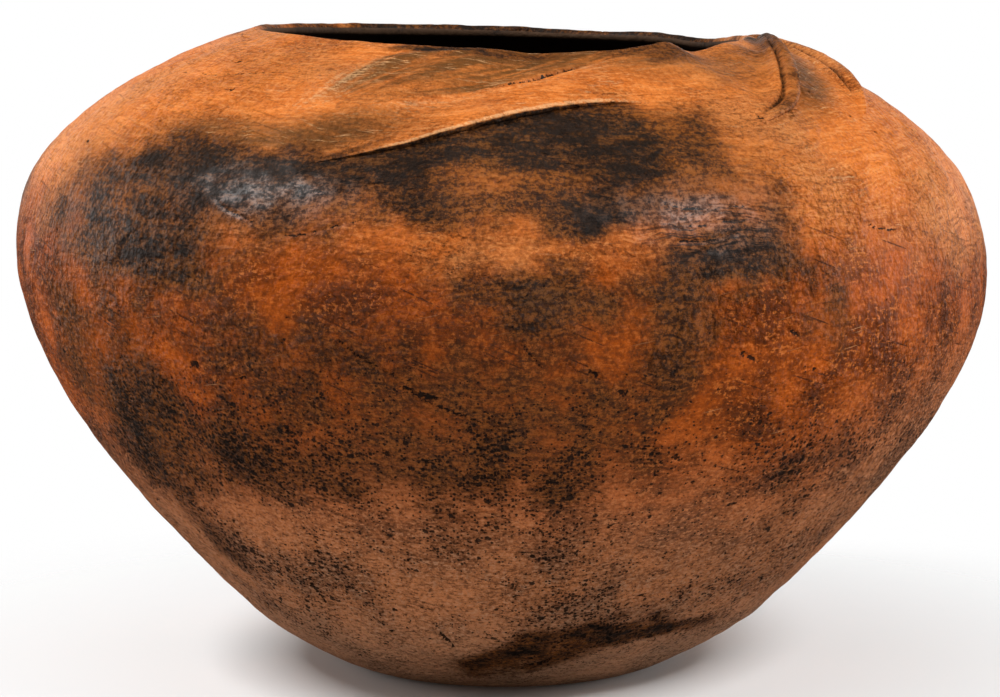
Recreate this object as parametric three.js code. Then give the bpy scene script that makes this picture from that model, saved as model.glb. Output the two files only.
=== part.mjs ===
// Terracotta floor pot, hand built: a base pressed in a dish, coil courses lapped one into the next,
// a thin lip coil round the mouth, and laps of clay folded over the shoulder.
// Millimetres, +Z up. The origin is the centre of the flat foot, and the front of the pot faces -Y.

import * as THREE from "three";

// Outside of the wall, from the flat foot to the lip
const FOOT_RADIUS = 73;
const HEEL_RADIUS = 134.5;
const HEEL_HEIGHT = 33;
const BELLY_RADIUS = 250;
const BELLY_HEIGHT = 211.5;
const LIP_RADIUS = 128;
const LIP_HEIGHT = 326;

// Slope of the wall in degrees above the horizontal, where it leaves the heel and where it meets the lip
const HEEL_SLOPE = 44;
const LIP_SLOPE = 17.8;

// How far the outline keeps its direction beside each of those places before it bends
const FOOT_REACH = 13;
const HEEL_REACH_BELOW = 11;
const HEEL_REACH_ABOVE = 87;
const BELLY_REACH_BELOW = 51.5;
const BELLY_REACH_ABOVE = 55;
const LIP_REACH = 87;

// Thickness of the clay
const BASE_THICKNESS = 12;
const WALL_THICKNESS = 9;
const LIP_THICKNESS = 6;

// Coil courses: the lip coil is the last one, and every joint slants down into the pot
const COIL_COUNT = 9;
const LIP_COIL_HEIGHT = 30;
const JOINT_LAP = 10;
const SLIP_GAP = 0.4;

// What the hand left uneven: the belly dips to the right, the upper wall leans, the lip waves
const BELLY_DIP = 9.2;
const BELLY_DIP_SPREAD = 92;
const UPPER_LEAN = -2.1;
const WALL_WOBBLE = 0.9;
const WOBBLES_AROUND = 3;
const LIP_TILT = 2.3;
const LIP_TILT_TOWARDS = 210;
const LIP_SADDLE = 1.4;
const LIP_WAVE_DEPTH = 60;

// Clay laps over the shoulder: how far each reaches below the lip, and how thick it gets
const LAP_SEAT_GAP = 0.3;
const LAP_EDGE = 0.8;
const FRONT_FOLD_REACH = 112;
const FRONT_FOLD_THICKNESS = 7.2;
const LEFT_FOLD_REACH = 78;
const LEFT_FOLD_THICKNESS = 2.8;
const SIDE_FOLD_1_REACH = 84;
const SIDE_FOLD_1_THICKNESS = 6.8;
const SIDE_FOLD_2_REACH = 80;
const SIDE_FOLD_2_THICKNESS = 6;
const SIDE_FOLD_3_REACH = 76;
const SIDE_FOLD_3_THICKNESS = 5.6;

// Each lap is a strip between two lines. A line's points are
// [angle round the pot in degrees, share of the lap's reach, share of its thickness].
const LAPS = {
  front_fold: {
    reach: FRONT_FOLD_REACH,
    thickness: FRONT_FOLD_THICKNESS,
    inner: [
      [-45, 0.045, 0],
      [-55, 0.027, 0.53],
      [-71, 0.16, 0.44],
      [-86, 0.375, 0.28],
      [-98, 0.64, 0.1],
      [-112, 0.9, 0],
    ],
    outer: [
      [-59, 0.57, 0],
      [-67, 0.535, 0.34],
      [-77, 0.555, 0.78],
      [-89, 0.67, 1],
      [-101, 0.85, 0.81],
      [-115, 1, 0],
    ],
  },
  left_fold: {
    reach: LEFT_FOLD_REACH,
    thickness: LEFT_FOLD_THICKNESS,
    inner: [
      [-108, 0.05, 0],
      [-118, 0.18, 0],
      [-126, 0.46, 0],
      [-130, 0.85, 0],
    ],
    outer: [
      [-98, 0.05, 0.6],
      [-110, 0.27, 1],
      [-117, 0.67, 0.8],
      [-122, 1, 0],
    ],
  },
  side_fold_1: {
    reach: SIDE_FOLD_1_REACH,
    thickness: SIDE_FOLD_1_THICKNESS,
    inner: [
      [-14, 0.035, 0],
      [-26, 0.095, 0],
      [-38, 0.285, 0],
      [-45, 0.535, 0],
      [-54, 0.785, 0],
    ],
    outer: [
      [-3, 0.035, 0.93],
      [-20, 0.225, 1],
      [-33, 0.51, 0.87],
      [-43, 0.8, 0.63],
      [-55, 1, 0],
    ],
  },
  side_fold_2: {
    reach: SIDE_FOLD_2_REACH,
    thickness: SIDE_FOLD_2_THICKNESS,
    inner: [
      [10, 0.05, 0],
      [-2, 0.2, 0],
      [-14, 0.45, 0],
      [-24, 0.775, 0],
    ],
    outer: [
      [18, 0.06, 0.85],
      [3, 0.36, 1],
      [-13, 0.65, 0.88],
      [-28, 1, 0],
    ],
  },
  side_fold_3: {
    reach: SIDE_FOLD_3_REACH,
    thickness: SIDE_FOLD_3_THICKNESS,
    inner: [
      [50, 0.05, 0],
      [38, 0.185, 0],
      [26, 0.42, 0],
      [16, 0.735, 0],
    ],
    outer: [
      [60, 0.065, 0.8],
      [45, 0.34, 1],
      [29, 0.66, 0.83],
      [13, 1, 0],
    ],
  },
};

// Fineness of the faceted solids
const ROUND_STEPS = 64;
const FOOT_STEPS = 5;
const COURSE_STEPS = 2;
const LIP_ROUND_STEPS = 3;
const LAP_STEPS_ALONG = 18;
const LAP_STEPS_ACROSS = 4;

const TERRACOTTA = new THREE.MeshStandardMaterial({ color: 0xb5602c, roughness: 0.55, metalness: 0 });
const SMOKED_CLAY = new THREE.MeshStandardMaterial({ color: 0x6b3a20, roughness: 0.5, metalness: 0 });

// A direction in the upright section of the wall, as radius and height.
function sloping(degrees) {
  const angle = THREE.MathUtils.degToRad(degrees);
  return new THREE.Vector2(Math.cos(angle), Math.sin(angle));
}

// The outside of the wall as one outline of three bends: heel, lower wall and shoulder.
function wallOutline() {
  const foot = new THREE.Vector2(FOOT_RADIUS, 0);
  const heel = new THREE.Vector2(HEEL_RADIUS, HEEL_HEIGHT);
  const belly = new THREE.Vector2(BELLY_RADIUS, BELLY_HEIGHT);
  const lip = new THREE.Vector2(LIP_RADIUS, LIP_HEIGHT);
  const up = sloping(90);
  const climb = sloping(HEEL_SLOPE);
  const shoulder = sloping(-LIP_SLOPE);
  const outline = new THREE.CurvePath();
  outline.add(
    new THREE.CubicBezierCurve(
      foot,
      foot.clone().addScaledVector(sloping(0), FOOT_REACH),
      heel.clone().addScaledVector(climb, -HEEL_REACH_BELOW),
      heel,
    ),
  );
  outline.add(
    new THREE.CubicBezierCurve(
      heel,
      heel.clone().addScaledVector(climb, HEEL_REACH_ABOVE),
      belly.clone().addScaledVector(up, -BELLY_REACH_BELOW),
      belly,
    ),
  );
  outline.add(
    new THREE.CubicBezierCurve(
      belly,
      belly.clone().addScaledVector(up, BELLY_REACH_ABOVE),
      lip.clone().addScaledVector(shoulder, LIP_REACH),
      lip,
    ),
  );
  return outline;
}

const OUTLINE = wallOutline();
const WALL_LENGTH = OUTLINE.getLength();
const BASE_LENGTH = OUTLINE.curves[0].getLength();
const COIL_HEIGHT = (WALL_LENGTH - BASE_LENGTH - LIP_COIL_HEIGHT) / COIL_COUNT;

// Thickness of the clay at a distance up the wall from the foot's edge.
function thicknessAt(distance) {
  const heel = THREE.MathUtils.smoothstep(distance, 0, BASE_LENGTH);
  const lip = THREE.MathUtils.smoothstep(distance, WALL_LENGTH - LIP_COIL_HEIGHT, WALL_LENGTH);
  const wall = THREE.MathUtils.lerp(BASE_THICKNESS, WALL_THICKNESS, heel);
  return THREE.MathUtils.lerp(wall, LIP_THICKNESS, lip);
}

// A point of the wall's section: up the wall by a distance, then out of its outer face by a lift.
function sectionPoint(distance, lift) {
  const share = THREE.MathUtils.clamp(distance / WALL_LENGTH, 0, 1);
  const point = OUTLINE.getPoint(share);
  const along = OUTLINE.getTangent(share);
  return new THREE.Vector2(point.x + along.y * lift, point.y - along.x * lift);
}

// Moves a point of the evenly turned form to where the hand-raised wall really stands.
function settle(point) {
  const radius = Math.hypot(point.x, point.y);
  const angle = Math.atan2(point.y, point.x);
  const raised = THREE.MathUtils.smoothstep(point.z, 0, HEEL_HEIGHT);
  const nearBelly = Math.exp(-(((point.z - BELLY_HEIGHT) / BELLY_DIP_SPREAD) ** 2));
  const nearLip = THREE.MathUtils.smoothstep(point.z, LIP_HEIGHT - LIP_WAVE_DEPTH, LIP_HEIGHT);
  const towards = angle - THREE.MathUtils.degToRad(LIP_TILT_TOWARDS);
  const lipWave = LIP_TILT * Math.cos(towards) + LIP_SADDLE * Math.cos(2 * angle);
  const dip = BELLY_DIP * nearBelly * raised * Math.cos(angle) * (radius / BELLY_RADIUS);
  const swing = WOBBLES_AROUND * angle + (2 * Math.PI * point.z) / BELLY_HEIGHT;
  const wobble = WALL_WOBBLE * raised * Math.sin(swing);
  const lean = UPPER_LEAN * THREE.MathUtils.clamp(point.z / BELLY_HEIGHT, 0, 1);
  return new THREE.Vector3(
    (radius + wobble) * Math.cos(angle) + lean,
    (radius + wobble) * Math.sin(angle),
    point.z - dip + lipWave * nearLip,
  );
}

// Turns a closed section of radius and height points round the pot's axis and settles it.
function turned(section) {
  const geometry = new THREE.LatheGeometry(section, ROUND_STEPS).rotateX(Math.PI / 2);
  const places = geometry.getAttribute("position");
  for (let i = 0; i < places.count; i++) {
    const place = settle(new THREE.Vector3().fromBufferAttribute(places, i));
    places.setXYZ(i, place.x, place.y, place.z);
  }
  return geometry;
}

// Points of the outer face between two distances up the wall.
function outerFace(from, to, steps) {
  const points = [];
  for (let i = 0; i <= steps; i++) points.push(sectionPoint(from + ((to - from) * i) / steps, 0));
  return points;
}

// Points of the inner face between two distances, which sits one clay thickness inside the outer face.
function innerFace(from, to, steps) {
  const points = [];
  for (let i = 0; i <= steps; i++) {
    const distance = from + ((to - from) * i) / steps;
    points.push(sectionPoint(distance, -thicknessAt(distance)));
  }
  return points;
}

// The base: a flat foot and a round heel, with its rim cut on the slant for the first coil.
function basePad() {
  const rim = BASE_LENGTH - SLIP_GAP / 2;
  const section = [
    new THREE.Vector2(0, 0),
    ...outerFace(0, rim, FOOT_STEPS),
    ...innerFace(rim - JOINT_LAP, 0, FOOT_STEPS),
    new THREE.Vector2(0, BASE_THICKNESS),
  ];
  return turned(section);
}

// One coil course: its lower edge laps down inside the course below it.
function wallCoil(index) {
  const from = BASE_LENGTH + index * COIL_HEIGHT + SLIP_GAP / 2;
  const to = BASE_LENGTH + (index + 1) * COIL_HEIGHT - SLIP_GAP / 2;
  const section = [
    ...outerFace(from, to, COURSE_STEPS),
    ...innerFace(to - JOINT_LAP, from - JOINT_LAP, COURSE_STEPS),
  ];
  section.push(section[0].clone());
  return turned(section);
}

// The last coil, thinned towards the mouth and rounded over at the lip.
function lipCoil() {
  const from = WALL_LENGTH - LIP_COIL_HEIGHT + SLIP_GAP / 2;
  const half = LIP_THICKNESS / 2;
  const edge = sectionPoint(WALL_LENGTH, -half);
  const inward = OUTLINE.getTangent(1);
  const outward = new THREE.Vector2(inward.y, -inward.x);
  const rounded = [];
  for (let i = 1; i < LIP_ROUND_STEPS; i++) {
    const turn = (Math.PI * i) / LIP_ROUND_STEPS;
    rounded.push(
      edge
        .clone()
        .addScaledVector(outward, half * Math.cos(turn))
        .addScaledVector(inward, half * Math.sin(turn)),
    );
  }
  const section = [
    ...outerFace(from, WALL_LENGTH, COURSE_STEPS),
    ...rounded,
    ...innerFace(WALL_LENGTH, from - JOINT_LAP, COURSE_STEPS),
  ];
  section.push(section[0].clone());
  return turned(section);
}

// A smooth line over the shoulder through a lap's points, as angle, distance below the lip and thickness.
function shoulderLine(points, reach, thickness) {
  const places = points.map(
    ([degrees, far, thick]) =>
      new THREE.Vector3(degrees, far * reach, THREE.MathUtils.lerp(LAP_EDGE, thickness, thick)),
  );
  return new THREE.CatmullRomCurve3(places);
}

// A point above the shoulder at an angle in degrees, a distance below the lip and a lift off the wall.
function shoulderPoint(degrees, belowLip, lift) {
  const section = sectionPoint(WALL_LENGTH - belowLip, lift);
  const angle = THREE.MathUtils.degToRad(degrees);
  return settle(new THREE.Vector3(section.x * Math.cos(angle), section.x * Math.sin(angle), section.y));
}

// One closed ring across a lap: over its top from the inner line to the outer one, and back underneath.
function lapRing(inner, outer) {
  const top = [];
  const seat = [];
  for (let i = 0; i <= LAP_STEPS_ACROSS; i++) {
    const share = i / LAP_STEPS_ACROSS;
    const place = inner.clone().lerp(outer, share);
    const thickness = THREE.MathUtils.lerp(inner.z, outer.z, share * share);
    top.push(shoulderPoint(place.x, place.y, LAP_SEAT_GAP + thickness));
    seat.unshift(shoulderPoint(place.x, place.y, LAP_SEAT_GAP));
  }
  return [...top, ...seat];
}

// Skins a row of closed rings into one closed body with a flat cap at each end.
function skinned(rings) {
  const count = rings[0].length;
  const index = [];
  for (let i = 0; i < rings.length - 1; i++) {
    for (let j = 0; j < count; j++) {
      const here = i * count + j;
      const beside = i * count + ((j + 1) % count);
      index.push(here, here + count, beside, beside, here + count, beside + count);
    }
  }
  const last = (rings.length - 1) * count;
  for (let j = 0; j < count / 2 - 1; j++) {
    const back = count - 1 - j;
    index.push(j, j + 1, back, j + 1, back - 1, back);
    index.push(last + j, last + back, last + j + 1, last + j + 1, last + back, last + back - 1);
  }
  return new THREE.BufferGeometry().setFromPoints(rings.flat()).setIndex(index);
}

// A lap of clay: rings between its two lines, from its broad end to its tip.
function lap({ reach, thickness, inner, outer }) {
  const innerLine = shoulderLine(inner, reach, thickness);
  const outerLine = shoulderLine(outer, reach, thickness);
  const rings = [];
  for (let i = 0; i <= LAP_STEPS_ALONG; i++) {
    const share = i / LAP_STEPS_ALONG;
    rings.push(lapRing(innerLine.getPoint(share), outerLine.getPoint(share)));
  }
  return skinned(rings);
}

// Adds one named piece of clay to the pot.
function addPiece(pot, name, geometry, material) {
  const piece = new THREE.Mesh(geometry, material);
  piece.name = name;
  pot.add(piece);
}

const pot = new THREE.Group();
addPiece(pot, "base_pad", basePad(), TERRACOTTA);
for (let i = 0; i < COIL_COUNT; i++) addPiece(pot, `wall_coil_${i + 1}`, wallCoil(i), TERRACOTTA);
addPiece(pot, "lip_coil", lipCoil(), SMOKED_CLAY);
for (const [name, lines] of Object.entries(LAPS)) addPiece(pot, name, lap(lines), TERRACOTTA);

export default pot;
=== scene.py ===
"""Hand-built terracotta floor pot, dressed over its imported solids.

The wall, the lip and the clay folds are surfaces worked out with numpy on grids of angle and
distance up the wall, in millimetres, and laid into meshes in metres. Smoke, pits and burnish are
worked out on the same grids and kept as point attributes, which the clay's node material reads.
"""

import logging
import math
from dataclasses import dataclass, field, fields
from enum import Enum
from typing import Any, Sequence

import bpy
import numpy as np
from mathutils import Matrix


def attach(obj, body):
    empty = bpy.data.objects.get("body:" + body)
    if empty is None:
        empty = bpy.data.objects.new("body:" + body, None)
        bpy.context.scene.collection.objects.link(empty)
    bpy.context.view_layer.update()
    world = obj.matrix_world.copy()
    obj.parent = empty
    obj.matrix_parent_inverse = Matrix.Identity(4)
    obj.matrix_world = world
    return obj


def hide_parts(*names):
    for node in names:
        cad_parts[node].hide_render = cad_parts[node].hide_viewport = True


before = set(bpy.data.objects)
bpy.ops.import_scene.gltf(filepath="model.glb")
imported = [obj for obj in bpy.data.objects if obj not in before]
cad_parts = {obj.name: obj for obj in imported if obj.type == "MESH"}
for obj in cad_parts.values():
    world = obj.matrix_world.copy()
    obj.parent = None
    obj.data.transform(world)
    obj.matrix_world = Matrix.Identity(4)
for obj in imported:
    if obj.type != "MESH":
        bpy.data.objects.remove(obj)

LOG = logging.getLogger("floor_pot")
MM = 0.001
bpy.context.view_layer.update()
POT_MIDDLE = np.array([0.0, 0.0, 0.2])
SENSOR_WIDTH = 36.0

Array = np.ndarray


class Slot(Enum):
    """The record's material slots."""

    MATTE = "matte_terracotta"
    BURNISHED = "burnished_terracotta"
    SMOKED = "smoked_terracotta"


def smooth(value: Array, low: Array | float, high: Array | float) -> Array:
    """Rises from 0 at low to 1 at high along a cubic that is level at both ends.

    Args:
        value: Numbers to place between the two limits.
        low: Where the rise starts.
        high: Where it ends; it may be below low.

    Returns:
        The share of the rise, from 0 to 1.
    """
    share = np.clip((value - low) / (high - low), 0.0, 1.0)
    return share * share * (3.0 - 2.0 * share)


class ClayNoise:
    """Repeatable noise on a lattice of hashed cells."""

    @staticmethod
    def hashed(cells: Array, seed: int) -> Array:
        """Gives each lattice cell its own number.

        Args:
            cells: Whole-number cells, three in the last axis.
            seed: Picks one of many such fields.

        Returns:
            Numbers from 0 to 1, one for each cell.
        """
        c = cells.astype(np.int64).astype(np.uint32)
        with np.errstate(over="ignore"):
            h = c[..., 0] * np.uint32(0x8DA6B343) ^ c[..., 1] * np.uint32(0xD8163841)
            h = h ^ c[..., 2] * np.uint32(0xCB1AB31F) ^ np.uint32((seed * 0x9E3779B9) & 0xFFFFFFFF)
            h = (h ^ (h >> np.uint32(15))) * np.uint32(0x2C1B3C6D)
            h = (h ^ (h >> np.uint32(12))) * np.uint32(0x297A2D39)
            h = h ^ (h >> np.uint32(15))
        return h.astype(np.float64) / 4294967295.0

    @classmethod
    def cloud(cls, points: Array, size: float, seed: int, octaves: int = 1) -> Array:
        """Soft value noise: cell numbers blended between lattice corners, octaves added at half size.

        Args:
            points: Places in millimetres, three in the last axis.
            size: Width of a lattice cell of the first octave.
            seed: Picks the field.
            octaves: How many sizes are added.

        Returns:
            Numbers from about -1 to 1.
        """
        total = np.zeros(points.shape[:-1])
        weight, reach = 1.0, 0.0
        for octave in range(octaves):
            spot = points / (size / 2.0**octave) + 17.3 * octave
            cell = np.floor(spot)
            part = spot - cell
            part = part**3 * (part * (6.0 * part - 15.0) + 10.0)
            value = np.zeros(points.shape[:-1])
            for corner in range(8):
                step = np.array([corner & 1, corner >> 1 & 1, corner >> 2 & 1])
                share = np.prod(np.where(step == 1, part, 1.0 - part), axis=-1)
                value += share * cls.hashed(cell + step, seed + 31 * octave)
            total += weight * (2.0 * value - 1.0)
            reach += weight
            weight *= 0.55
        return total / reach * 1.6

    @classmethod
    def specks(cls, points: Array, size: float, seed: int) -> tuple[Array, Array]:
        """One round speck inside each lattice cell, of a random place and width.

        Args:
            points: Places in millimetres, stretched beforehand where specks are long.
            size: Width of a cell.
            seed: Picks the field.

        Returns:
            How deep inside its speck each point lies, from 0 at the rim to 1, and the cell's own number.
        """
        spot = points / size
        cell = np.floor(spot)
        part = spot - cell
        jitter = np.stack([cls.hashed(cell, seed + i) for i in range(3)], axis=-1)
        radius = 0.10 + 0.22 * cls.hashed(cell, seed + 3) ** 2
        away = np.linalg.norm(part - (0.5 + 0.36 * (jitter - 0.5)), axis=-1)
        return np.clip(1.0 - away / radius, 0.0, 1.0), cls.hashed(cell, seed + 4)


@dataclass
class PotForm:
    """The turned and settled form of the pot in millimetres, measured on its outside."""

    foot_radius: float = 73.0
    heel_radius: float = 134.5
    heel_height: float = 33.0
    belly_radius: float = 250.0
    belly_height: float = 211.5
    lip_radius: float = 128.0
    lip_height: float = 326.0
    heel_slope: float = 44.0
    lip_slope: float = 17.8
    foot_reach: float = 13.0
    heel_reach_below: float = 11.0
    heel_reach_above: float = 87.0
    belly_reach_below: float = 51.5
    belly_reach_above: float = 55.0
    lip_reach: float = 87.0
    base_thickness: float = 12.0
    wall_thickness: float = 9.0
    lip_thickness: float = 6.0
    coil_count: int = 9
    lip_coil_height: float = 30.0
    joint_lap: float = 10.0
    belly_dip: float = 9.2
    belly_dip_spread: float = 92.0
    upper_lean: float = -2.1
    wall_wobble: float = 0.9
    wobbles_around: int = 3
    lip_rise: float = 2.3
    lip_rise_towards: float = 210.0
    lip_saddle: float = 1.4
    lip_wave_depth: float = 60.0
    length: float = field(init=False)
    base_length: float = field(init=False)

    def __post_init__(self) -> None:
        """Samples the outline once: three cubic bends, with the distance run along them."""
        foot = np.array([self.foot_radius, 0.0])
        heel = np.array([self.heel_radius, self.heel_height])
        belly = np.array([self.belly_radius, self.belly_height])
        lip = np.array([self.lip_radius, self.lip_height])
        climb = self._direction(self.heel_slope)
        fall = self._direction(-self.lip_slope)
        up = np.array([0.0, 1.0])
        out = np.array([1.0, 0.0])
        bends = [
            self._bend(foot, foot + self.foot_reach * out, heel - self.heel_reach_below * climb, heel),
            self._bend(
                heel, heel + self.heel_reach_above * climb, belly - self.belly_reach_below * up, belly
            ),
            self._bend(belly, belly + self.belly_reach_above * up, lip + self.lip_reach * fall, lip),
        ]
        self._line = np.vstack([bends[0], bends[1][1:], bends[2][1:]])
        steps = np.hypot(*np.diff(self._line, axis=0).T)
        self._run = np.concatenate([[0.0], np.cumsum(steps)])
        along = np.gradient(self._line, self._run, axis=0)
        self._along = along / np.linalg.norm(along, axis=1)[:, None]
        self.length = float(self._run[-1])
        self.base_length = float(self._run[len(bends[0]) - 1])

    @staticmethod
    def _direction(degrees: float) -> Array:
        """A unit direction of radius and height at a slope."""
        return np.array([math.cos(math.radians(degrees)), math.sin(math.radians(degrees))])

    @staticmethod
    def _bend(a: Array, b: Array, c: Array, d: Array) -> Array:
        """A cubic bend from a to d that leaves towards b and arrives from c, in 500 steps."""
        t = np.linspace(0.0, 1.0, 501)[:, None]
        return (1 - t) ** 3 * a + 3 * (1 - t) ** 2 * t * b + 3 * (1 - t) * t * t * c + t**3 * d

    @property
    def coil_height(self) -> float:
        """Height of one coil course along the wall."""
        return (self.length - self.base_length - self.lip_coil_height) / self.coil_count

    def radius_at(self, distance: Array) -> Array:
        """Radius of the outside at a distance up the wall."""
        return np.interp(distance, self._run, self._line[:, 0])

    def thickness(self, distance: Array) -> Array:
        """Clay thickness: that of the base, then of the wall, then thinner towards the lip.

        Args:
            distance: Distances up the wall.

        Returns:
            The thickness there.
        """
        heel = smooth(distance, 0.0, self.base_length)
        lip = smooth(distance, self.length - self.lip_coil_height, self.length)
        wall = self.base_thickness + (self.wall_thickness - self.base_thickness) * heel
        return wall + (self.lip_thickness - wall) * lip

    def section(self, distance: Array, lift: Array) -> tuple[Array, Array]:
        """Radius and height of the wall's section: along the outline, then out of it at a right angle.

        Args:
            distance: How far up the outline from the foot's edge.
            lift: How far out of the outer face.

        Returns:
            Radius and height.
        """
        radius = np.interp(distance, self._run, self._line[:, 0])
        height = np.interp(distance, self._run, self._line[:, 1])
        along_r = np.interp(distance, self._run, self._along[:, 0])
        along_h = np.interp(distance, self._run, self._along[:, 1])
        return radius + along_h * lift, height - along_r * lift

    def settle(self, radius: Array, angle: Array, height: Array) -> Array:
        """Moves the evenly turned form to where the hand-raised wall stands.

        The belly dips to the right by a cosine under a bell curve of height, the upper wall leans, the
        radius wobbles by a sine of angle and height, and the lip rises by two cosines of the angle.

        Args:
            radius: Radius of each point.
            angle: Angle round the pot in radians.
            height: Height of each point.

        Returns:
            Places with x, y and z in the last axis.
        """
        raised = smooth(height, 0.0, self.heel_height)
        near_belly = np.exp(-(((height - self.belly_height) / self.belly_dip_spread) ** 2))
        near_lip = smooth(height, self.lip_height - self.lip_wave_depth, self.lip_height)
        towards = angle - math.radians(self.lip_rise_towards)
        wave = self.lip_rise * np.cos(towards) + self.lip_saddle * np.cos(2.0 * angle)
        dip = self.belly_dip * near_belly * raised * np.cos(angle) * radius / self.belly_radius
        swing = self.wobbles_around * angle + 2.0 * np.pi * height / self.belly_height
        wobbled = radius + self.wall_wobble * raised * np.sin(swing)
        lean = self.upper_lean * np.clip(height / self.belly_height, 0.0, 1.0)
        x = wobbled * np.cos(angle) + lean
        y = wobbled * np.sin(angle)
        return np.stack([x, y, height - dip + wave * near_lip], axis=-1)

    def place(self, angle: Array, distance: Array, lift: Array) -> Array:
        """A settled place at an angle in radians, a distance up the wall and a lift off it."""
        radius, height = self.section(distance, lift)
        return self.settle(radius, angle, height)


@dataclass(frozen=True)
class Patch:
    """A soft patch of the wall.

    Attributes:
        angle: Angle of its middle round the pot, in degrees.
        below: Distance of its middle below the lip.
        across: Half its length along its own lean.
        down: Half its breadth.
        lean: Turn of its length in degrees, from level towards the foot on its right.
        amount: How strong or how high it is.
    """

    angle: float
    below: float
    across: float
    down: float
    lean: float
    amount: float

    def nearness(self, form: PotForm, angle: Array, distance: Array, stray: Array) -> Array:
        """Distance from the patch's middle in half lengths, after its edge has strayed.

        Args:
            form: The pot's form.
            angle: Angles in radians.
            distance: Distances up the wall.
            stray: Two wanderings of the place in millimetres, in the last axis.

        Returns:
            0 in the middle and 1 on the patch's rim.
        """
        radius = float(form.radius_at(np.array(form.length - self.below)))
        turn = np.angle(np.exp(1j * (angle - math.radians(self.angle))))
        level = turn * radius + stray[..., 0]
        fall = (form.length - distance) - self.below + stray[..., 1]
        c, s = math.cos(math.radians(self.lean)), math.sin(math.radians(self.lean))
        return np.hypot((level * c + fall * s) / self.across, (fall * c - level * s) / self.down)


@dataclass(frozen=True)
class Tongue:
    """A tongue of browned clay on the shoulder between two lines.

    Attributes:
        left: Points of distance below the lip and angle in degrees along its left line.
        right: The same along its right line.
        amount: Its greatest darkness.
    """

    left: tuple[tuple[float, float], ...]
    right: tuple[tuple[float, float], ...]
    amount: float

    def shade(self, turn: Array, below: Array) -> tuple[Array, Array]:
        """Browns the tongue in streaks along it, and rubs its left line and its upper right pale.

        Args:
            turn: Angles in degrees.
            below: Distances below the lip.

        Returns:
            Darkness and rubbing, each from 0 to 1.
        """
        start = np.interp(below, *np.array(self.left, float).T)
        end = np.interp(below, *np.array(self.right, float).T)
        across = (turn - start) / np.maximum(end - start, 2.0)
        streaks = np.stack([across * 95.0, below * 0.22, 0.0 * below], axis=-1)
        streak = ClayNoise.cloud(streaks, 5.0, 70, 3)
        inside = smooth(across, -0.03, 0.05) * smooth(across, 1.08, 0.92) * smooth(below, 84.0, 30.0)
        brown = np.clip(self.amount * inside * (0.85 + 0.45 * streak), 0.0, 1.0)
        left = np.exp(-(((turn - start - 1.0) / 4.5) ** 2)) * smooth(below, 12.0, 36.0)
        right = np.exp(-(((turn - end - 4.0) / 6.0) ** 2)) * smooth(below, 6.0, 20.0)
        rubbed = np.maximum(left, 0.8 * right) * smooth(below, 92.0, 62.0)
        return brown, np.clip(rubbed * (0.7 + 0.6 * streak), 0.0, 1.0)


TONGUE = Tongue(
    ((0, -107), (8, -109.5), (20, -113.5), (45, -116.5), (72, -119.5), (90, -122)),
    ((0, -60), (10, -67), (22, -75), (38, -88), (50, -97), (65, -108), (78, -117), (90, -120)),
    0.95,
)

SWELLS = (
    Patch(-103, 38, 46, 13, -52, 2.4),
    Patch(-94, 42, 44, 8, -50, -2.2),
    Patch(-53, 2, 13, 24, 0, 2.6),
    Patch(-41, 0, 15, 24, 0, -3.2),
    Patch(-80, 0, 34, 22, 0, -1.6),
    Patch(-42, 48, 24, 26, -30, -2.0),
    Patch(-24, 47, 34, 10, -34, -1.8),
    Patch(30, 4, 26, 16, 0, -2.4),
    Patch(100, 6, 60, 24, 0, 0.8),
    Patch(150, 40, 70, 40, 0, 1.2),
)

WASHES = (
    Patch(-60, 14, 40, 18, -14, 0.55),
    Patch(-42, 26, 46, 24, -10, 0.5),
    Patch(-28, 46, 54, 14, -34, 0.8),
    Patch(-112, 88, 40, 18, -20, 0.75),
    Patch(-128, 96, 44, 14, 0, 0.75),
    Patch(-148, 120, 40, 24, 0, 0.4),
    Patch(-62, 100, 44, 34, 0, 0.35),
    Patch(-14, 20, 50, 26, 0, 0.4),
    Patch(40, 60, 80, 34, 0, 0.35),
    Patch(90, 40, 90, 36, 0, 0.4),
    Patch(150, 70, 80, 30, 0, 0.35),
)

LIP_SMOKE = (
    Patch(-105, 3, 26, 6, 0, 0.7),
    Patch(-84, 3, 50, 6, 0, 0.4),
    Patch(-57, 12, 22, 11, -14, 0.55),
    Patch(-12, 12, 60, 12, 0, 0.40),
    Patch(-9, 7, 22, 12, -20, 0.8),
    Patch(45, 3, 70, 13, 0, 0.8),
    Patch(80, 4, 70, 14, 0, 0.95),
    Patch(120, 5, 80, 14, 0, 0.9),
    Patch(165, 4, 50, 10, 0, 0.5),
)

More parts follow.
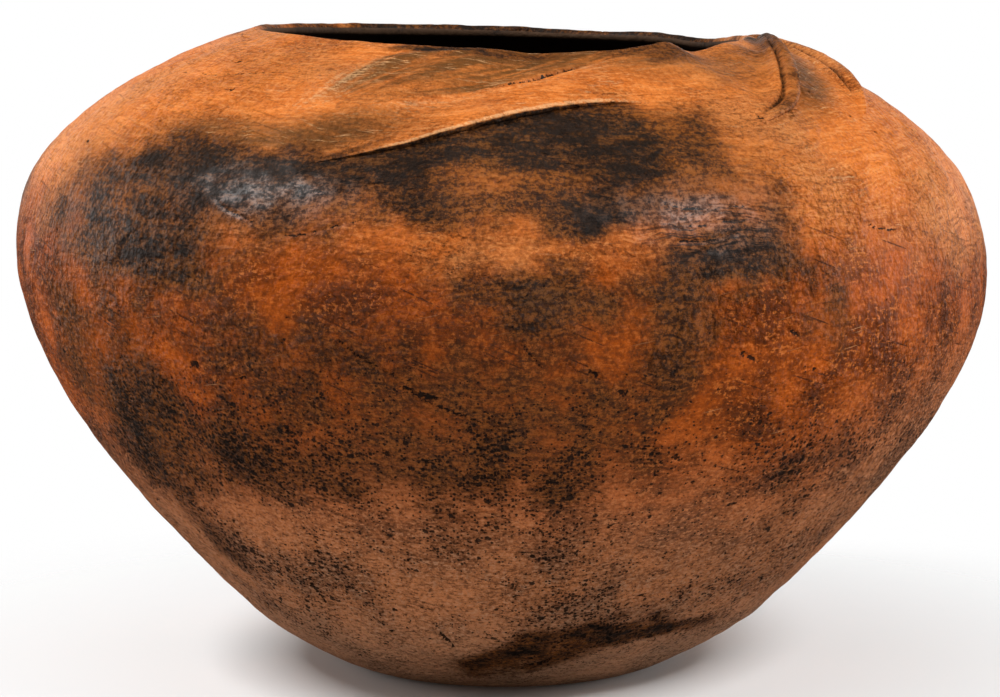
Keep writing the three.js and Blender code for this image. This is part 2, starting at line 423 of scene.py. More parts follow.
FIRE_CLOUDS = (
    Patch(-84, 86, 66, 36, -4, 1.0),
    Patch(-102, 102, 46, 22, -22, 1.0),
    Patch(-70, 92, 34, 32, 0, 0.5),
    Patch(-124, 114, 56, 18, -6, 1.0),
    Patch(-138, 124, 34, 20, -20, 0.55),
    Patch(-116, 134, 46, 22, 0, 0.62),
    Patch(-97, 136, 30, 14, 4, 0.6),
    Patch(-80, 131, 48, 12, 2, 0.72),
    Patch(-64, 124, 34, 14, 0, 0.45),
    Patch(-146, 142, 34, 22, 0, 0.55),
    Patch(-134, 150, 44, 24, -8, 0.66),
    Patch(-128, 168, 26, 14, 0, 0.8),
    Patch(-139, 166, 26, 16, 0, 0.7),
    Patch(-85, 174, 34, 14, 6, 0.95),
    Patch(-66, 158, 36, 12, -8, 0.85),
    Patch(-60, 147, 18, 16, 0, 0.5),
    Patch(-71, 188, 16, 30, 0, 0.55),
    Patch(-52, 176, 18, 26, 0, 0.5),
    Patch(-17, 138, 20, 14, 0, 0.3),
    Patch(-149, 215, 34, 52, 0, 0.42),
    Patch(-137, 245, 22, 80, 0, 0.45),
    Patch(-128, 268, 66, 30, 0, 0.36),
    Patch(-108, 264, 80, 24, 0, 0.30),
    Patch(-144, 300, 20, 70, 0, 0.42),
    Patch(-88, 240, 96, 50, 0, 0.5),
    Patch(-116, 206, 60, 28, 0, 0.3),
    Patch(-46, 302, 18, 60, -6, 0.28),
    Patch(-88, 414, 34, 13, -30, 0.8),
    Patch(-72, 389, 34, 11, -10, 0.85),
    Patch(-54, 387, 36, 9, 4, 0.55),
    Patch(-112, 418, 40, 10, -28, 0.15),
    Patch(22, 98, 80, 30, 8, 0.75),
    Patch(38, 152, 50, 26, 0, 0.65),
    Patch(62, 122, 90, 26, -6, 0.95),
    Patch(88, 96, 70, 28, 6, 0.85),
    Patch(100, 162, 60, 24, 0, 0.7),
    Patch(128, 128, 80, 26, 4, 0.9),
    Patch(140, 180, 44, 28, 0, 0.5),
    Patch(166, 106, 54, 22, -8, 0.65),
    Patch(178, 150, 60, 26, 0, 0.5),
    Patch(70, 262, 80, 50, 0, 0.36),
    Patch(120, 300, 50, 60, 10, 0.4),
    Patch(20, 330, 50, 50, 0, 0.35),
    Patch(150, 270, 60, 40, 0, 0.35),
    Patch(95, 402, 70, 17, -12, 0.75),
    Patch(170, 395, 60, 14, 8, 0.5),
)

CLEAN_ABOVE = (
    (-180, 70),
    (-150, 100),
    (-138, 104),
    (-128, 92),
    (-120, 93),
    (-112, 105),
    (-105, 93),
    (-97, 80),
    (-90, 70),
    (-82, 60),
    (-75, 56),
    (-69, 55),
    (-60, 40),
    (0, 60),
    (180, 70),
)

POLISHED = (
    Patch(-117, 134, 54, 24, 0, 1.0),
    Patch(-86, 130, 60, 15, 0, 0.55),
    Patch(-66, 140, 44, 26, 0, 0.9),
    Patch(-30, 132, 60, 24, 0, 0.15),
    Patch(10, 134, 60, 22, 0, 0.8),
    Patch(55, 130, 70, 24, 0, 1.0),
    Patch(110, 136, 70, 22, 0, 0.9),
    Patch(160, 130, 60, 22, 0, 0.8),
)

SCRAPED = (
    Patch(-66, 137, 44, 20, 0, 1.0),
    Patch(-100, 150, 50, 14, 0, 0.5),
    Patch(-20, 150, 40, 24, 0, 0.6),
    Patch(70, 140, 60, 22, 0, 0.9),
    Patch(130, 160, 60, 20, 0, 0.8),
    Patch(175, 128, 50, 18, 0, 0.8),
)


@dataclass(frozen=True)
class Gouge:
    """A long scratch.

    Attributes:
        start: Angle in degrees and distance below the lip where it starts.
        end: The same where it ends.
        half_width: Half its greatest width.
        depth: Its depth.
        deep: Depth from which it is dark along its whole run.
    """

    start: tuple[float, float]
    end: tuple[float, float]
    half_width: float
    depth: float
    deep: float = 1.5

    def shown(self, kept: Array) -> Array:
        """Darkness along the scratch: broken where the tool skipped, unless it went deep."""
        return kept if self.depth < self.deep else 0.6 + 0.4 * kept


GOUGES = (
    Gouge((-92, 43), (-75, 21), 1.6, 2.0),
    Gouge((-108, 196), (-99, 219), 0.7, 0.4),
    Gouge((-102, 214), (-92, 238), 0.8, 0.4),
    Gouge((-101, 217), (-97, 224), 1.6, 0.8),
    Gouge((-89, 186), (-86, 206), 0.6, 0.3),
    Gouge((-81, 205), (-79, 211), 1.4, 0.7),
    Gouge((-64, 196), (-61, 204), 1.4, 0.7),
    Gouge((-58, 186), (-56, 192), 1.2, 0.6),
    Gouge((-117, 150), (-104, 141), 0.7, 0.35),
    Gouge((-124, 134), (-118, 146), 0.7, 0.35),
    Gouge((-72, 128), (-58, 131), 0.6, 0.3),
    Gouge((-73, 137), (-61, 138), 0.6, 0.3),
    Gouge((-71, 146), (-63, 144), 0.6, 0.3),
    Gouge((-124, 347), (-125, 372), 1.3, 0.7),
    Gouge((-111, 364), (-108, 378), 1.6, 0.7),
    Gouge((-103, 379), (-101, 399), 1.3, 0.7),
    Gouge((-94, 384), (-91, 393), 1.0, 0.5),
    Gouge((-147, 384), (-143, 378), 1.5, 0.6),
    Gouge((-140, 378), (-136, 371), 1.5, 0.6),
    Gouge((-85, 420), (-78, 410), 1.4, 0.6),
    Gouge((-130, 422), (-124, 412), 1.5, 0.6),
    Gouge((-44, 140), (-38, 146), 0.7, 0.35),
    Gouge((-152, 52), (-128, 44), 0.5, 0.25),
    Gouge((70, 190), (86, 232), 0.9, 0.5),
    Gouge((112, 205), (104, 240), 0.9, 0.45),
    Gouge((150, 214), (163, 196), 0.9, 0.45),
    Gouge((36, 228), (46, 206), 0.9, 0.45),
    Gouge((84, 372), (80, 396), 1.3, 0.6),
    Gouge((132, 366), (136, 388), 1.3, 0.6),
)


@dataclass
class Surface:
    """A stretch of the clay's surface on a grid, with what its material needs."""

    places: Array
    smoke: Array
    pit: Array
    climb: Array
    scraped: Array
    sheen: Array
    browned: Array
    # rubbing on the tongue's lines, and the painted highlight along a fold's lower rim
    rubbed: Array


@dataclass
class Relief:
    """What the hand, the grit and the fire left on the wall."""

    form: PotForm

    def swell(self, angle: Array, distance: Array) -> Array:
        """Sum of the soft swellings and hollows of the whole wall, each a bell curve of its nearness.

        Args:
            angle: Angles in radians.
            distance: Distances up the wall.

        Returns:
            Heights in millimetres.
        """
        still = np.zeros(angle.shape + (2,))
        total = np.zeros(angle.shape)
        for patch in SWELLS:
            total += patch.amount * np.exp(-patch.nearness(self.form, angle, distance, still) ** 2)
        return total

    def lumps(self, points: Array) -> Array:
        """Uneven scraping: three sizes of soft noise.

        Args:
            points: Settled places.

        Returns:
            Heights in millimetres.
        """
        broad = 0.75 * ClayNoise.cloud(points, 74.0, 5)
        palm = 0.46 * ClayNoise.cloud(points, 26.0, 6, 2)
        finger = 0.19 * ClayNoise.cloud(points, 8.0, 7, 2)
        return broad + palm + finger

    def pits(self, points: Array, distance: Array) -> Array:
        """Burnt-out grit: specks of three sizes, long along the wall, thick below the belly.

        Args:
            points: Settled places.
            distance: Distances up the wall.

        Returns:
            Depth share of the pit at each point, from 0 to 1.
        """
        below = self.form.length - distance
        crowd = ClayNoise.cloud(points, 46.0, 21, 3)
        often = 0.03 + 0.55 * smooth(below, 170.0, 285.0) * smooth(below, 470.0, 330.0)
        often = np.clip(often * (1.0 + 1.3 * crowd) + 0.12 * smooth(below, 250.0, 380.0), 0.0, 1.0)
        lattice = np.concatenate([points[..., :2] * 0.62, distance[..., None]], axis=-1)
        stray = 1.8 * np.stack([ClayNoise.cloud(points, 2.6, 60 + i) for i in range(3)], axis=-1)
        depth = np.zeros(points.shape[:-1])
        for size, seed, most in ((4.6, 11, 1.0), (6.6, 12, 0.55), (9.5, 13, 0.3)):
            inside, chance = ClayNoise.specks(lattice + 0.5 * stray, size, seed * 7)
            depth = np.maximum(depth, np.where(chance < often * most, smooth(inside, -0.1, 0.9), 0.0))
        return depth

    def gouges(self, points: Array, angle: Array, distance: Array) -> tuple[Array, Array]:
        """Scratches: nearness to each bowed run on the unrolled wall, with thin ends and skipped places.

        Args:
            points: Settled places.
            angle: Angles in radians.
            distance: Distances up the wall.

        Returns:
            Depth in millimetres and darkness from 0 to 1.
        """
        deep = np.zeros(angle.shape)
        dark = np.zeros(angle.shape)
        kept = smooth(ClayNoise.cloud(points, 5.0, 33, 2), -0.6, 0.0)
        for gouge in GOUGES:
            (a0, b0), (a1, b1) = gouge.start, gouge.end
            radius = float(self.form.radius_at(np.array(self.form.length - 0.5 * (b0 + b1))))
            run = np.array([math.radians(a1 - a0) * radius, b1 - b0])
            length = float(np.hypot(*run))
            turn = np.angle(np.exp(1j * (angle - math.radians(a0)))) * radius
            fall = (self.form.length - distance) - b0
            share = (turn * run[0] + fall * run[1]) / length**2
            bow = 0.035 * length * np.sin(np.pi * np.clip(share, 0, 1) * 1.6)
            off = np.abs((turn * run[1] - fall * run[0]) / length + bow)
            taper = np.sqrt(np.clip(4.0 * share * (1.0 - share), 0.0, 1.0))
            here = smooth(off / (gouge.half_width * (0.25 + taper)), 1.0, 0.2) * (taper > 0)
            deep = np.maximum(deep, gouge.depth * here)
            dark = np.maximum(dark, smooth(here, 0.0, 0.7) * gouge.shown(kept))
        return deep, dark

    def smoke(self, points: Array, angle: Array, distance: Array) -> Array:
        """Fire clouds below the fold's edge and smoke about the lip, with wandering edges.

        Args:
            points: Settled places.
            angle: Angles in radians.
            distance: Distances up the wall.

        Returns:
            Darkness from 0 to 1.
        """
        level = 13.0 * ClayNoise.cloud(points, 34.0, 40, 4)
        upright = 8.0 * ClayNoise.cloud(points * np.array([1.0, 1.0, 2.2]), 30.0, 41, 4)
        stray = np.stack([level, upright], axis=-1)
        turn = np.degrees(np.angle(np.exp(1j * angle)))
        edge = np.interp(turn, *np.array(CLEAN_ABOVE, float).T)
        crisp = smooth(np.abs(turn + 92.0), 26.0, 16.0)
        past = self.form.length - distance - edge + (1.0 - crisp) * upright
        bared = smooth(past, -2.0 - 12.0 * (1.0 - crisp), 1.5 + 12.0 * (1.0 - crisp))
        below = self._gather(FIRE_CLOUDS, angle, distance, stray) * bared
        return np.maximum(below, self._gather(LIP_SMOKE, angle, distance, stray))

    def browned(self, angle: Array, distance: Array) -> tuple[Array, Array]:
        """Browned washes of the shoulder and the places where rubbing took its brown off again.

        Args:
            angle: Angles in radians.
            distance: Distances up the wall.

        Returns:
            Brown and rubbing, each from 0 to 1.
        """
        turn = np.degrees(np.angle(np.exp(1j * angle)))
        brown, rubbed = TONGUE.shade(turn, self.form.length - distance)
        washed = self._gather(WASHES, angle, distance, np.zeros(angle.shape + (2,)))
        return np.maximum(brown, washed), rubbed

    def _gather(self, patches: Sequence[Patch], angle: Array, distance: Array, stray: Array) -> Array:
        """Lays soft patches over one another, each a steep bell curve of its nearness.

        Args:
            patches: The patches.
            angle: Angles in radians.
            distance: Distances up the wall.
            stray: Wandering of the patches' edges.

        Returns:
            How much they cover, from 0 to 1.
        """
        clear = np.ones(angle.shape)
        for patch in patches:
            near = patch.nearness(self.form, angle, distance, stray)
            clear *= 1.0 - patch.amount * np.exp(-(near**2.4))
        return 1.0 - clear

    def strongest(self, patches: Sequence[Patch], angle: Array, distance: Array) -> Array:
        """The strongest of a few soft patches, each a bell curve of its nearness.

        Args:
            patches: The patches.
            angle: Angles in radians.
            distance: Distances up the wall.

        Returns:
            The greatest amount at each place.
        """
        still = np.zeros(angle.shape + (2,))
        near = [p.amount * np.exp(-p.nearness(self.form, angle, distance, still) ** 2) for p in patches]
        return np.max(near, axis=0)

    def clothe(self, angle: Array, distance: Array, lift: Array, fine: Array) -> Surface:
        """Lays the wall's surface at a lift, with its swellings, lumps, pits and scratches.

        Args:
            angle: Angles in radians.
            distance: Distances up the wall.
            lift: How far off the turned wall, before the relief.
            fine: Share of the lumps, pits and scratches that shows, 0 on an inside face.

        Returns:
            The surface's places in millimetres and what its material reads.
        """
        ground = self.form.place(angle, distance, np.zeros(angle.shape))
        pit = self.pits(ground, distance)
        deep, dark = self.gouges(ground, angle, distance)
        rise = self.swell(angle, distance) + fine * (self.lumps(ground) - 0.8 * pit - deep)
        held = smooth(distance, 0.0, 25.0)
        places = self.form.place(angle, distance, lift + rise * held)
        smoke = self.smoke(ground, angle, distance)
        pit = np.maximum(pit, 0.75 * dark) * fine
        scraped = self.strongest(SCRAPED, angle, distance)
        sheen = self.strongest(POLISHED, angle, distance)
        return Surface(places, smoke, pit, distance, scraped, sheen, *self.browned(angle, distance))


class Closing(Enum):
    """How a grid of points closes into a skin."""

    RING = "rows and columns both run round"
    BOWL = "columns run round, the first and last row close on their middles"
    LAP = "rows run round, the first and last column close on their middles"
    SHEET = "nothing closes"


@dataclass
class Skin:
    """Turns a grid of points into one mesh of that name."""

    name: str

    def lay(
        self, surface: Surface, closing: Closing, inside: Array, sharp: Sequence[int] = ()
    ) -> bpy.types.Object:
        """Makes the mesh: quads between neighbouring rows and columns, with fans where rings close.

        Args:
            surface: The grid of points, rows by columns.
            closing: How the grid closes.
            inside: For each row, 1 if the faces after it take the inside finish.
            sharp: Rows whose edges keep a hard crease.

        Returns:
            The linked object, at the origin.
        """
        rows, columns = surface.places.shape[:2]
        number = np.arange(rows * columns).reshape(rows, columns)
        wide = number
        if closing in (Closing.RING, Closing.BOWL):
            wide = np.hstack([wide, wide[:, :1]])
        if closing in (Closing.RING, Closing.LAP):
            wide = np.vstack([wide, wide[:1]])
        quads = np.stack([wide[:-1, :-1], wide[:-1, 1:], wide[1:, 1:], wide[1:, :-1]], axis=-1)
        corners = [quads.reshape(-1)]
        counts = [np.full(quads.size // 4, 4)]
        finishes = [np.repeat(inside[: len(quads)], quads.shape[1])]
        points = surface.places.reshape(-1, 3)
        values = {key: value.reshape(-1) for key, value in vars(surface).items() if key != "places"}
        values["climb"] = values["climb"] * MM
        for ring, finish in self._rings(number, closing, inside):
            fan = np.stack([np.full(len(ring), len(points)), ring, np.roll(ring, -1)], axis=-1)
            corners.append(fan.reshape(-1))
            counts.append(np.full(len(ring), 3))
            finishes.append(np.full(len(ring), finish))
            points = np.vstack([points, points[ring].mean(0)])
            values = {key: np.append(value, value[ring].mean()) for key, value in values.items()}
        mesh = bpy.data.meshes.new(self.name)
        self._fill(mesh, points * MM, np.concatenate(corners), np.concatenate(counts))
        mesh.polygons.foreach_set("material_index", np.concatenate(finishes).astype(np.int32))
        mesh.polygons.foreach_set("use_smooth", np.ones(len(mesh.polygons), bool))
        for key, value in values.items():
            made = mesh.attributes.new(key, "FLOAT", "POINT")
            made.data.foreach_set("value", value.astype(np.float32))
        self._crease(mesh, number, sharp)
        mesh.validate()
        piece = bpy.data.objects.new(self.name, mesh)
        bpy.context.scene.collection.objects.link(piece)
        return piece

    @staticmethod
    def _rings(number: Array, closing: Closing, inside: Array) -> list[tuple[Array, int]]:
        """The rings that close on a middle, each in the order that faces it outwards, with its finish.

        Args:
            number: The grid's point numbers.
            closing: How the grid closes.
            inside: The finish after each row.

        Returns:
            Rings of point numbers and their finish.
        """
        if closing is Closing.BOWL:
            return [(number[0, ::-1], inside[0]), (number[-1], inside[-1])]
        if closing is Closing.LAP:
            return [(number[:, 0], inside[0]), (number[::-1, -1], inside[-1])]
        return []

    @staticmethod
    def _fill(mesh: bpy.types.Mesh, points: Array, corners: Array, counts: Array) -> None:
        """Puts points and faces into the mesh in whole arrays.

        Args:
            mesh: The empty mesh.
            points: Places in metres.
            corners: Point numbers of all the faces in a row.
            counts: How many corners each face has.
        """
        mesh.vertices.add(len(points))
        mesh.vertices.foreach_set("co", points.astype(np.float32).reshape(-1))
        mesh.loops.add(len(corners))
        mesh.loops.foreach_set("vertex_index", corners.astype(np.int32))
        mesh.polygons.add(len(counts))
        starts = np.concatenate([[0], np.cumsum(counts)[:-1]])
        mesh.polygons.foreach_set("loop_start", starts.astype(np.int32))
        mesh.update(calc_edges=True)

    @staticmethod
    def _crease(mesh: bpy.types.Mesh, number: Array, sharp: Sequence[int]) -> None:
        """Marks the edges that run along the given rows as hard.

        Args:
            mesh: The filled mesh.
            number: The grid's point numbers.
            sharp: The rows.
        """
        if not len(sharp):
            return
        ends = np.empty(len(mesh.edges) * 2, np.int32)
        mesh.edges.foreach_get("vertices", ends)
        columns = number.shape[1]
        row = ends.reshape(-1, 2) // columns
        hard = (row[:, 0] == row[:, 1]) & np.isin(row[:, 0], np.asarray(sharp))
        marks = mesh.attributes.new("sharp_edge", "BOOLEAN", "EDGE")
        marks.data.foreach_set("value", hard)


@dataclass
class WallBuild:
    """Builds the base, the coil courses and the lip as rings of the same surface.

    Attributes:
        relief: The pot's form and relief.
        around: Columns of the grid, round the pot.
        step: Distance between rows of the outer face.
        heel_step: How many steps apart the rows of the base are.
        coil_inner_rows: Rows of a coil's inner face.
        lip_inner_rows: Rows of the lip's inner face.
        base_inner_rows: Rows of the base's inner wall.
        lip_round_rows: Rows over the half round of the lip, with both its ends.
        hub_radius: Radius of the rings that close on the middle of the base.
        hub_rows: Rows between the middle and the foot's edge.
    """

    relief: Relief
    around: int = 1400
    step: float = 1.05
    heel_step: float = 1.6
    coil_inner_rows: int = 7
    lip_inner_rows: int = 12
    base_inner_rows: int = 10
    lip_round_rows: int = 13
    hub_radius: float = 8.0
    hub_rows: int = 8

    def _angles(self) -> Array:
        """Angles of the grid's columns in radians."""
        return np.linspace(0.0, 2.0 * np.pi, self.around, endpoint=False)

    def _ring(self, distance: Array, lift: Array, fine: Array) -> Surface:
        """A grid of the clothed wall, a full turn wide.

        Args:
            distance: Distance up the wall of each row.
            lift: Lift off the wall of each row.
            fine: Share of fine relief in each row.

        Returns:
            The surface.
        """
        angle = np.broadcast_to(self._angles(), (len(distance), self.around))
        wide = [np.broadcast_to(v[:, None], angle.shape) for v in (distance, lift, fine)]
        return self.relief.clothe(angle, *wide)

    def _outer(self, low: float, high: float) -> Array:
        """Distances of the outer rows between two distances, about one step apart."""
        return np.linspace(low, high, max(3, round((high - low) / self.step)) + 1)

    def coil(self, name: str, low: float, high: float) -> bpy.types.Object:
        """One coil course: its outer face, its slanting joints and its inner face, closed in a loop.

        Args:
            name: Name of the piece.
            low: Distance up the wall of its lower outer edge.
            high: Distance of its upper outer edge.

        Returns:
            The piece.
        """
        form = self.relief.form
        outer = self._outer(low, high)
        inner = np.linspace(high - form.joint_lap, low - form.joint_lap, self.coil_inner_rows)
        distance = np.concatenate([outer, inner])
        lift = np.concatenate([np.zeros(len(outer)), -form.thickness(inner)])
        fine = np.concatenate([np.ones(len(outer)), np.zeros(len(inner))])
        inside = np.concatenate([np.zeros(len(outer) - 1), np.ones(len(inner) + 1)]).astype(int)
        sharp = (0, len(outer) - 1, len(outer), len(distance) - 1)
        return Skin(name).lay(self._ring(distance, lift, fine), Closing.RING, inside, sharp)

    def lip(self, name: str) -> bpy.types.Object:
        """The lip coil: its outer face runs over a half round at the mouth into its inner face.

        Args:
            name: Name of the piece.

        Returns:
            The piece.
        """
        form = self.relief.form
        low = form.length - form.lip_coil_height
        outer = self._outer(low, form.length)
        turn = np.linspace(0.0, np.pi, self.lip_round_rows)[1:-1]
        inner = np.linspace(form.length, low - form.joint_lap, self.lip_inner_rows)
        half = 0.5 * form.lip_thickness
        distance = np.concatenate([outer, np.full(len(turn), form.length), inner])
        lift = np.concatenate([np.zeros(len(outer)), half * (np.cos(turn) - 1.0), -form.thickness(inner)])
        over = np.concatenate([np.zeros(len(outer)), half * np.sin(turn), np.zeros(len(inner))])
        fine = np.concatenate([np.ones(len(outer)), 0.5 * (1.0 + np.cos(turn)), np.zeros(len(inner))])
        surface = self._ring(distance, lift, fine)
        inward = math.radians(180.0 - form.lip_slope)
        angle = np.broadcast_to(self._angles(), surface.smoke.shape)
        push = over[:, None]
        surface.places[..., 0] += push * math.cos(inward) * np.cos(angle)
        surface.places[..., 1] += push * math.cos(inward) * np.sin(angle)
        surface.places[..., 2] += push * math.sin(inward)
        inside = np.zeros(len(distance), int)
        inside[len(outer) + len(turn) // 2 :] = 1
        sharp = (0, len(distance) - 1)
        return Skin(name).lay(surface, Closing.RING, inside, sharp)

    def base(self, name: str) -> bpy.types.Object:
        """The base: a flat foot closed on its middle, the round heel, the joint and the floor inside.

        Args:
            name: Name of the piece.

        Returns:
            The piece.
        """
        form = self.relief.form
        foot = np.linspace(self.hub_radius, form.foot_radius, self.hub_rows)[:-1]
        outer_rows = round(form.base_length / (self.heel_step * self.step)) + 1
        outer = np.linspace(0.0, form.base_length, outer_rows)
        inner = np.linspace(form.base_length - form.joint_lap, 0.0, self.base_inner_rows)
        floor = np.linspace(form.foot_radius, self.hub_radius, self.hub_rows)[1:]
        lift = np.concatenate([np.zeros(len(outer)), -form.thickness(inner)])
        fine = np.concatenate([np.ones(len(outer)), np.zeros(len(inner))])
        wall = self._ring(np.concatenate([outer, inner]), lift, fine)
        rows = len(foot) + len(wall.places) + len(floor)
        surface = Surface(*[np.zeros((rows, *v.shape[1:])) for v in vars(wall).values()])
        body = slice(len(foot), len(foot) + len(wall.places))
        for key in vars(wall):
            getattr(surface, key)[body] = getattr(wall, key)
        ray = np.stack([np.cos(self._angles()), np.sin(self._angles()), np.zeros(self.around)], axis=-1)
        surface.places[: len(foot)] = foot[:, None, None] * ray
        surface.places[body.stop :] = floor[:, None, None] * ray
        surface.places[body.stop :, :, 2] = form.base_thickness
        surface.smoke[: len(foot)] = 0.25
        inside = np.zeros(rows, int)
        inside[len(foot) + len(outer) - 1 :] = 1
        edge = len(foot) + len(outer) - 1
        return Skin(name).lay(surface, Closing.BOWL, inside, (edge, edge + 1))


class Blend(Enum):
    """How a fold's smoke goes on from the wall's."""

    SAME = 0
    CLEAN = 1


@dataclass(frozen=True)
class LapSection:
    """A lap's section at each step along it: rows run along the lap and columns round the section.

    Attributes:
        over: Share across the lap of each column.
        lift: Heights off the wall.
        push: How far each point stands out past the lower line; below 0 past the upper one.
        furrow: How deep in the furrow each point of the top lies, from 0 to 1.
        fading: Share of the furrow that shows at each step along the lap.
        on_top: The columns of the top.
        edge: Height of the lower edge at each step along the lap.
    """

    over: Array
    lift: Array
    push: Array
    furrow: Array
    fading: Array
    on_top: slice
    edge: Array


@dataclass
class Fold:
    """A lap of clay between two lines over the shoulder.

    Attributes:
        name: Name of the piece.
        reach: How far it goes below the lip.
        thickness: Its greatest thickness.
        inner: Points of angle, share of the reach and share of the thickness along its upper line.
        outer: The same along its lower line.
        crown: Height of the swelling between the two lines.
        climb: Power of the eased rise towards the lower line; above 1 the top is hollow.
        bulge: How far the rounded edge stands out, as a share of half its height.
        ramp: Length of the slope that a soft edge runs out on.
        groove: Depth of a furrow along the top, beside its crest.
        groove_at: Share across the top where the furrow runs.
        crest_smoke: How dark the crest beyond the furrow is made, smoke with painted shade on its
            far side; the painted shade in the furrow grows with it.
        taper: Shares of its length over which its start and its end round off.
        blend: Whether smoke crosses it; a clean lap also gets a painted highlight along its lower edge.
        along: Rows of its grid.
        across: Columns over its top.
        nose_rows: Columns round the nose at each edge.
        sink: How deep it is pressed into the wall.
        radius: Radius of the shoulder under it, by which its breadth is measured.
    """

    name: str
    reach: float
    thickness: float
    inner: tuple[tuple[float, float, float], ...]
    outer: tuple[tuple[float, float, float], ...]
    crown: float = 0.0
    climb: float = 2.0
    bulge: float = 0.8
    ramp: float = 0.0
    groove: float = 0.0
    groove_at: float = 0.8
    crest_smoke: float = 0.0
    taper: tuple[float, float] = (0.05, 0.05)
    blend: Blend = Blend.SAME
    along: int = 200
    across: int = 64
    nose_rows: int = 14
    sink: float = 0.3
    radius: float = 165.0

    def _line(self, points: Sequence[tuple[float, float, float]], share: Array) -> Array:
        """A smooth curve through the points: cubic pieces whose slopes join each point's neighbours.

        Args:
            points: What the curve goes through, from its start to its end.
            share: Shares of the way along it.

        Returns:
            The curve's values, three for each share.
        """
        p = np.array(points, float)
        p = np.vstack([2 * p[0] - p[1], p, 2 * p[-1] - p[-2]])
        spot = np.clip(share, 0.0, 1.0) * (len(points) - 1)
        i = np.minimum(spot.astype(int), len(points) - 2)
        t = (spot - i)[:, None]
        a, b, c, d = p[i], p[i + 1], p[i + 2], p[i + 3]
        bend = 2 * a - 5 * b + 4 * c - d
        twist = 3 * b - a - 3 * c + d
        return 0.5 * (2 * b + (c - a) * t + bend * t**2 + twist * t**3)

    def _section(self, share: Array, inner: Array, outer: Array, width: Array) -> LapSection:
        """Works out the section at each step along the lap.

        It runs over the top from the upper line to the lower one, round a nose at each edge, and back
        underneath. Its top is the two edges' thicknesses blended by powers of the share across, with a
        half sine of the crown between them and a furrow with a raised rim. Both ends round off.

        Args:
            share: Shares of the way along the lap.
            inner: Share of the thickness along the upper line.
            outer: The same along the lower line.
            width: Width of the lap.

        Returns:
            The sections.
        """
        from_start = 1.0 - np.clip(share / self.taper[0], 0.0, 1.0)
        from_end = 1.0 - np.clip((1.0 - share) / self.taper[1], 0.0, 1.0)
        ends = np.sqrt((1.0 - from_start**2) * (1.0 - from_end**2))[:, None]
        high_in = np.maximum(inner, 0.0)[:, None] * self.thickness * ends
        high_out = np.maximum(outer, 0.0)[:, None] * self.thickness * ends
        q = np.linspace(0.0, 1.0, self.across)
        eased = smooth(q, 0.0, 1.0) ** self.climb
        top = high_in * (1.0 - eased) + high_out * eased
        top = top + self.crown * ends * np.sin(np.pi * q) * np.sin(np.pi * share)[:, None]
        beside = (q - self.groove_at) * width[:, None]
        fading = (smooth(share, 1.0, 0.75) * smooth(share, 0.04, 0.2))[:, None]
        furrow = np.exp(-((beside / 1.4) ** 2)) * fading
        rim = np.exp(-(((beside + 4.2) / 1.8) ** 2)) * fading
        top = top + self.groove * (0.45 * rim - np.minimum(furrow, 0.8 * top / max(self.groove, 0.1)))
        nose = np.linspace(0.0, np.pi, self.nose_rows + 1)[1:]
        drop = 0.5 * (1.0 + np.cos(nose))
        out = 0.5 * self.bulge * np.sin(nose)
        under = np.array([0.8, 0.5, 0.2])
        level = np.zeros((self.along, len(under)))
        slope = self.ramp * ends * nose / np.pi
        return LapSection(
            over=np.concatenate([np.zeros(len(nose)), q, np.ones(len(nose)), under]),
            lift=np.hstack([high_in * drop[::-1], top, high_out * drop, level - 0.2]),
            push=np.hstack([-high_in * out[::-1], np.zeros(top.shape), high_out * out + slope, level]),
            furrow=furrow,
            fading=fading,
            on_top=slice(len(nose), len(nose) + self.across),
            edge=high_out,
        )

    def _soot_furrow(self, surface: Surface, lap: LapSection) -> None:
        """Paints shade into the furrow, and darkens the crest beyond it with smoke and painted shade on
        its far side.

        Args:
            surface: The lap's surface, which is changed.
            lap: Its sections.
        """
        # crest beyond the furrow: smoke, with painted shade on its far side
        sooty = self.crest_smoke * lap.fading * smooth(lap.over, 0.7, 0.9)
        surface.smoke = np.maximum(surface.smoke, sooty)
        # painted shade in the furrow, put into the smoke
        furrow_shade = (0.3 + 0.8 * self.crest_smoke) * lap.furrow
        surface.smoke[:, lap.on_top] = np.maximum(surface.smoke[:, lap.on_top], furrow_shade)
        # and into the pits, so the furrow is painted darker still
        furrow_shade = min(0.45, self.crest_smoke) * lap.furrow
        surface.pit[:, lap.on_top] = np.maximum(surface.pit[:, lap.on_top], furrow_shade)

    @staticmethod
    def _wipe_clean(surface: Surface, lap: LapSection, share: Array) -> None:
        """Keeps smoke off the top of the lap, leaves it on the lower part of the nose, where it is smoke
        together with painted shade under the edge, and paints a pale highlight along the lower edge.

        Args:
            surface: The lap's surface, which is changed.
            lap: Its sections.
            share: Shares of the way along the lap.
        """
        stands = smooth(lap.lift / np.maximum(lap.edge, 0.2), 0.62, 0.92)
        run = (smooth(share, 0.12, 0.4) * smooth(share, 1.0, 0.82))[:, None]
        shelter = run * smooth(lap.over, 0.0, 0.1) * np.maximum(stands, smooth(lap.over, 0.95, 0.7))
        # the lower nose keeps its smoke: smoke, and painted shade under the overhanging edge
        surface.smoke = surface.smoke * (1.0 - 0.92 * shelter)
        # painted highlight: a pale line along the lit lower rim, kept in the same field as the tongue's
        # rubbing
        pale = 1.25 * run * smooth(lap.over, 0.92, 0.99) * stands
        surface.rubbed = np.maximum(surface.rubbed, pale)

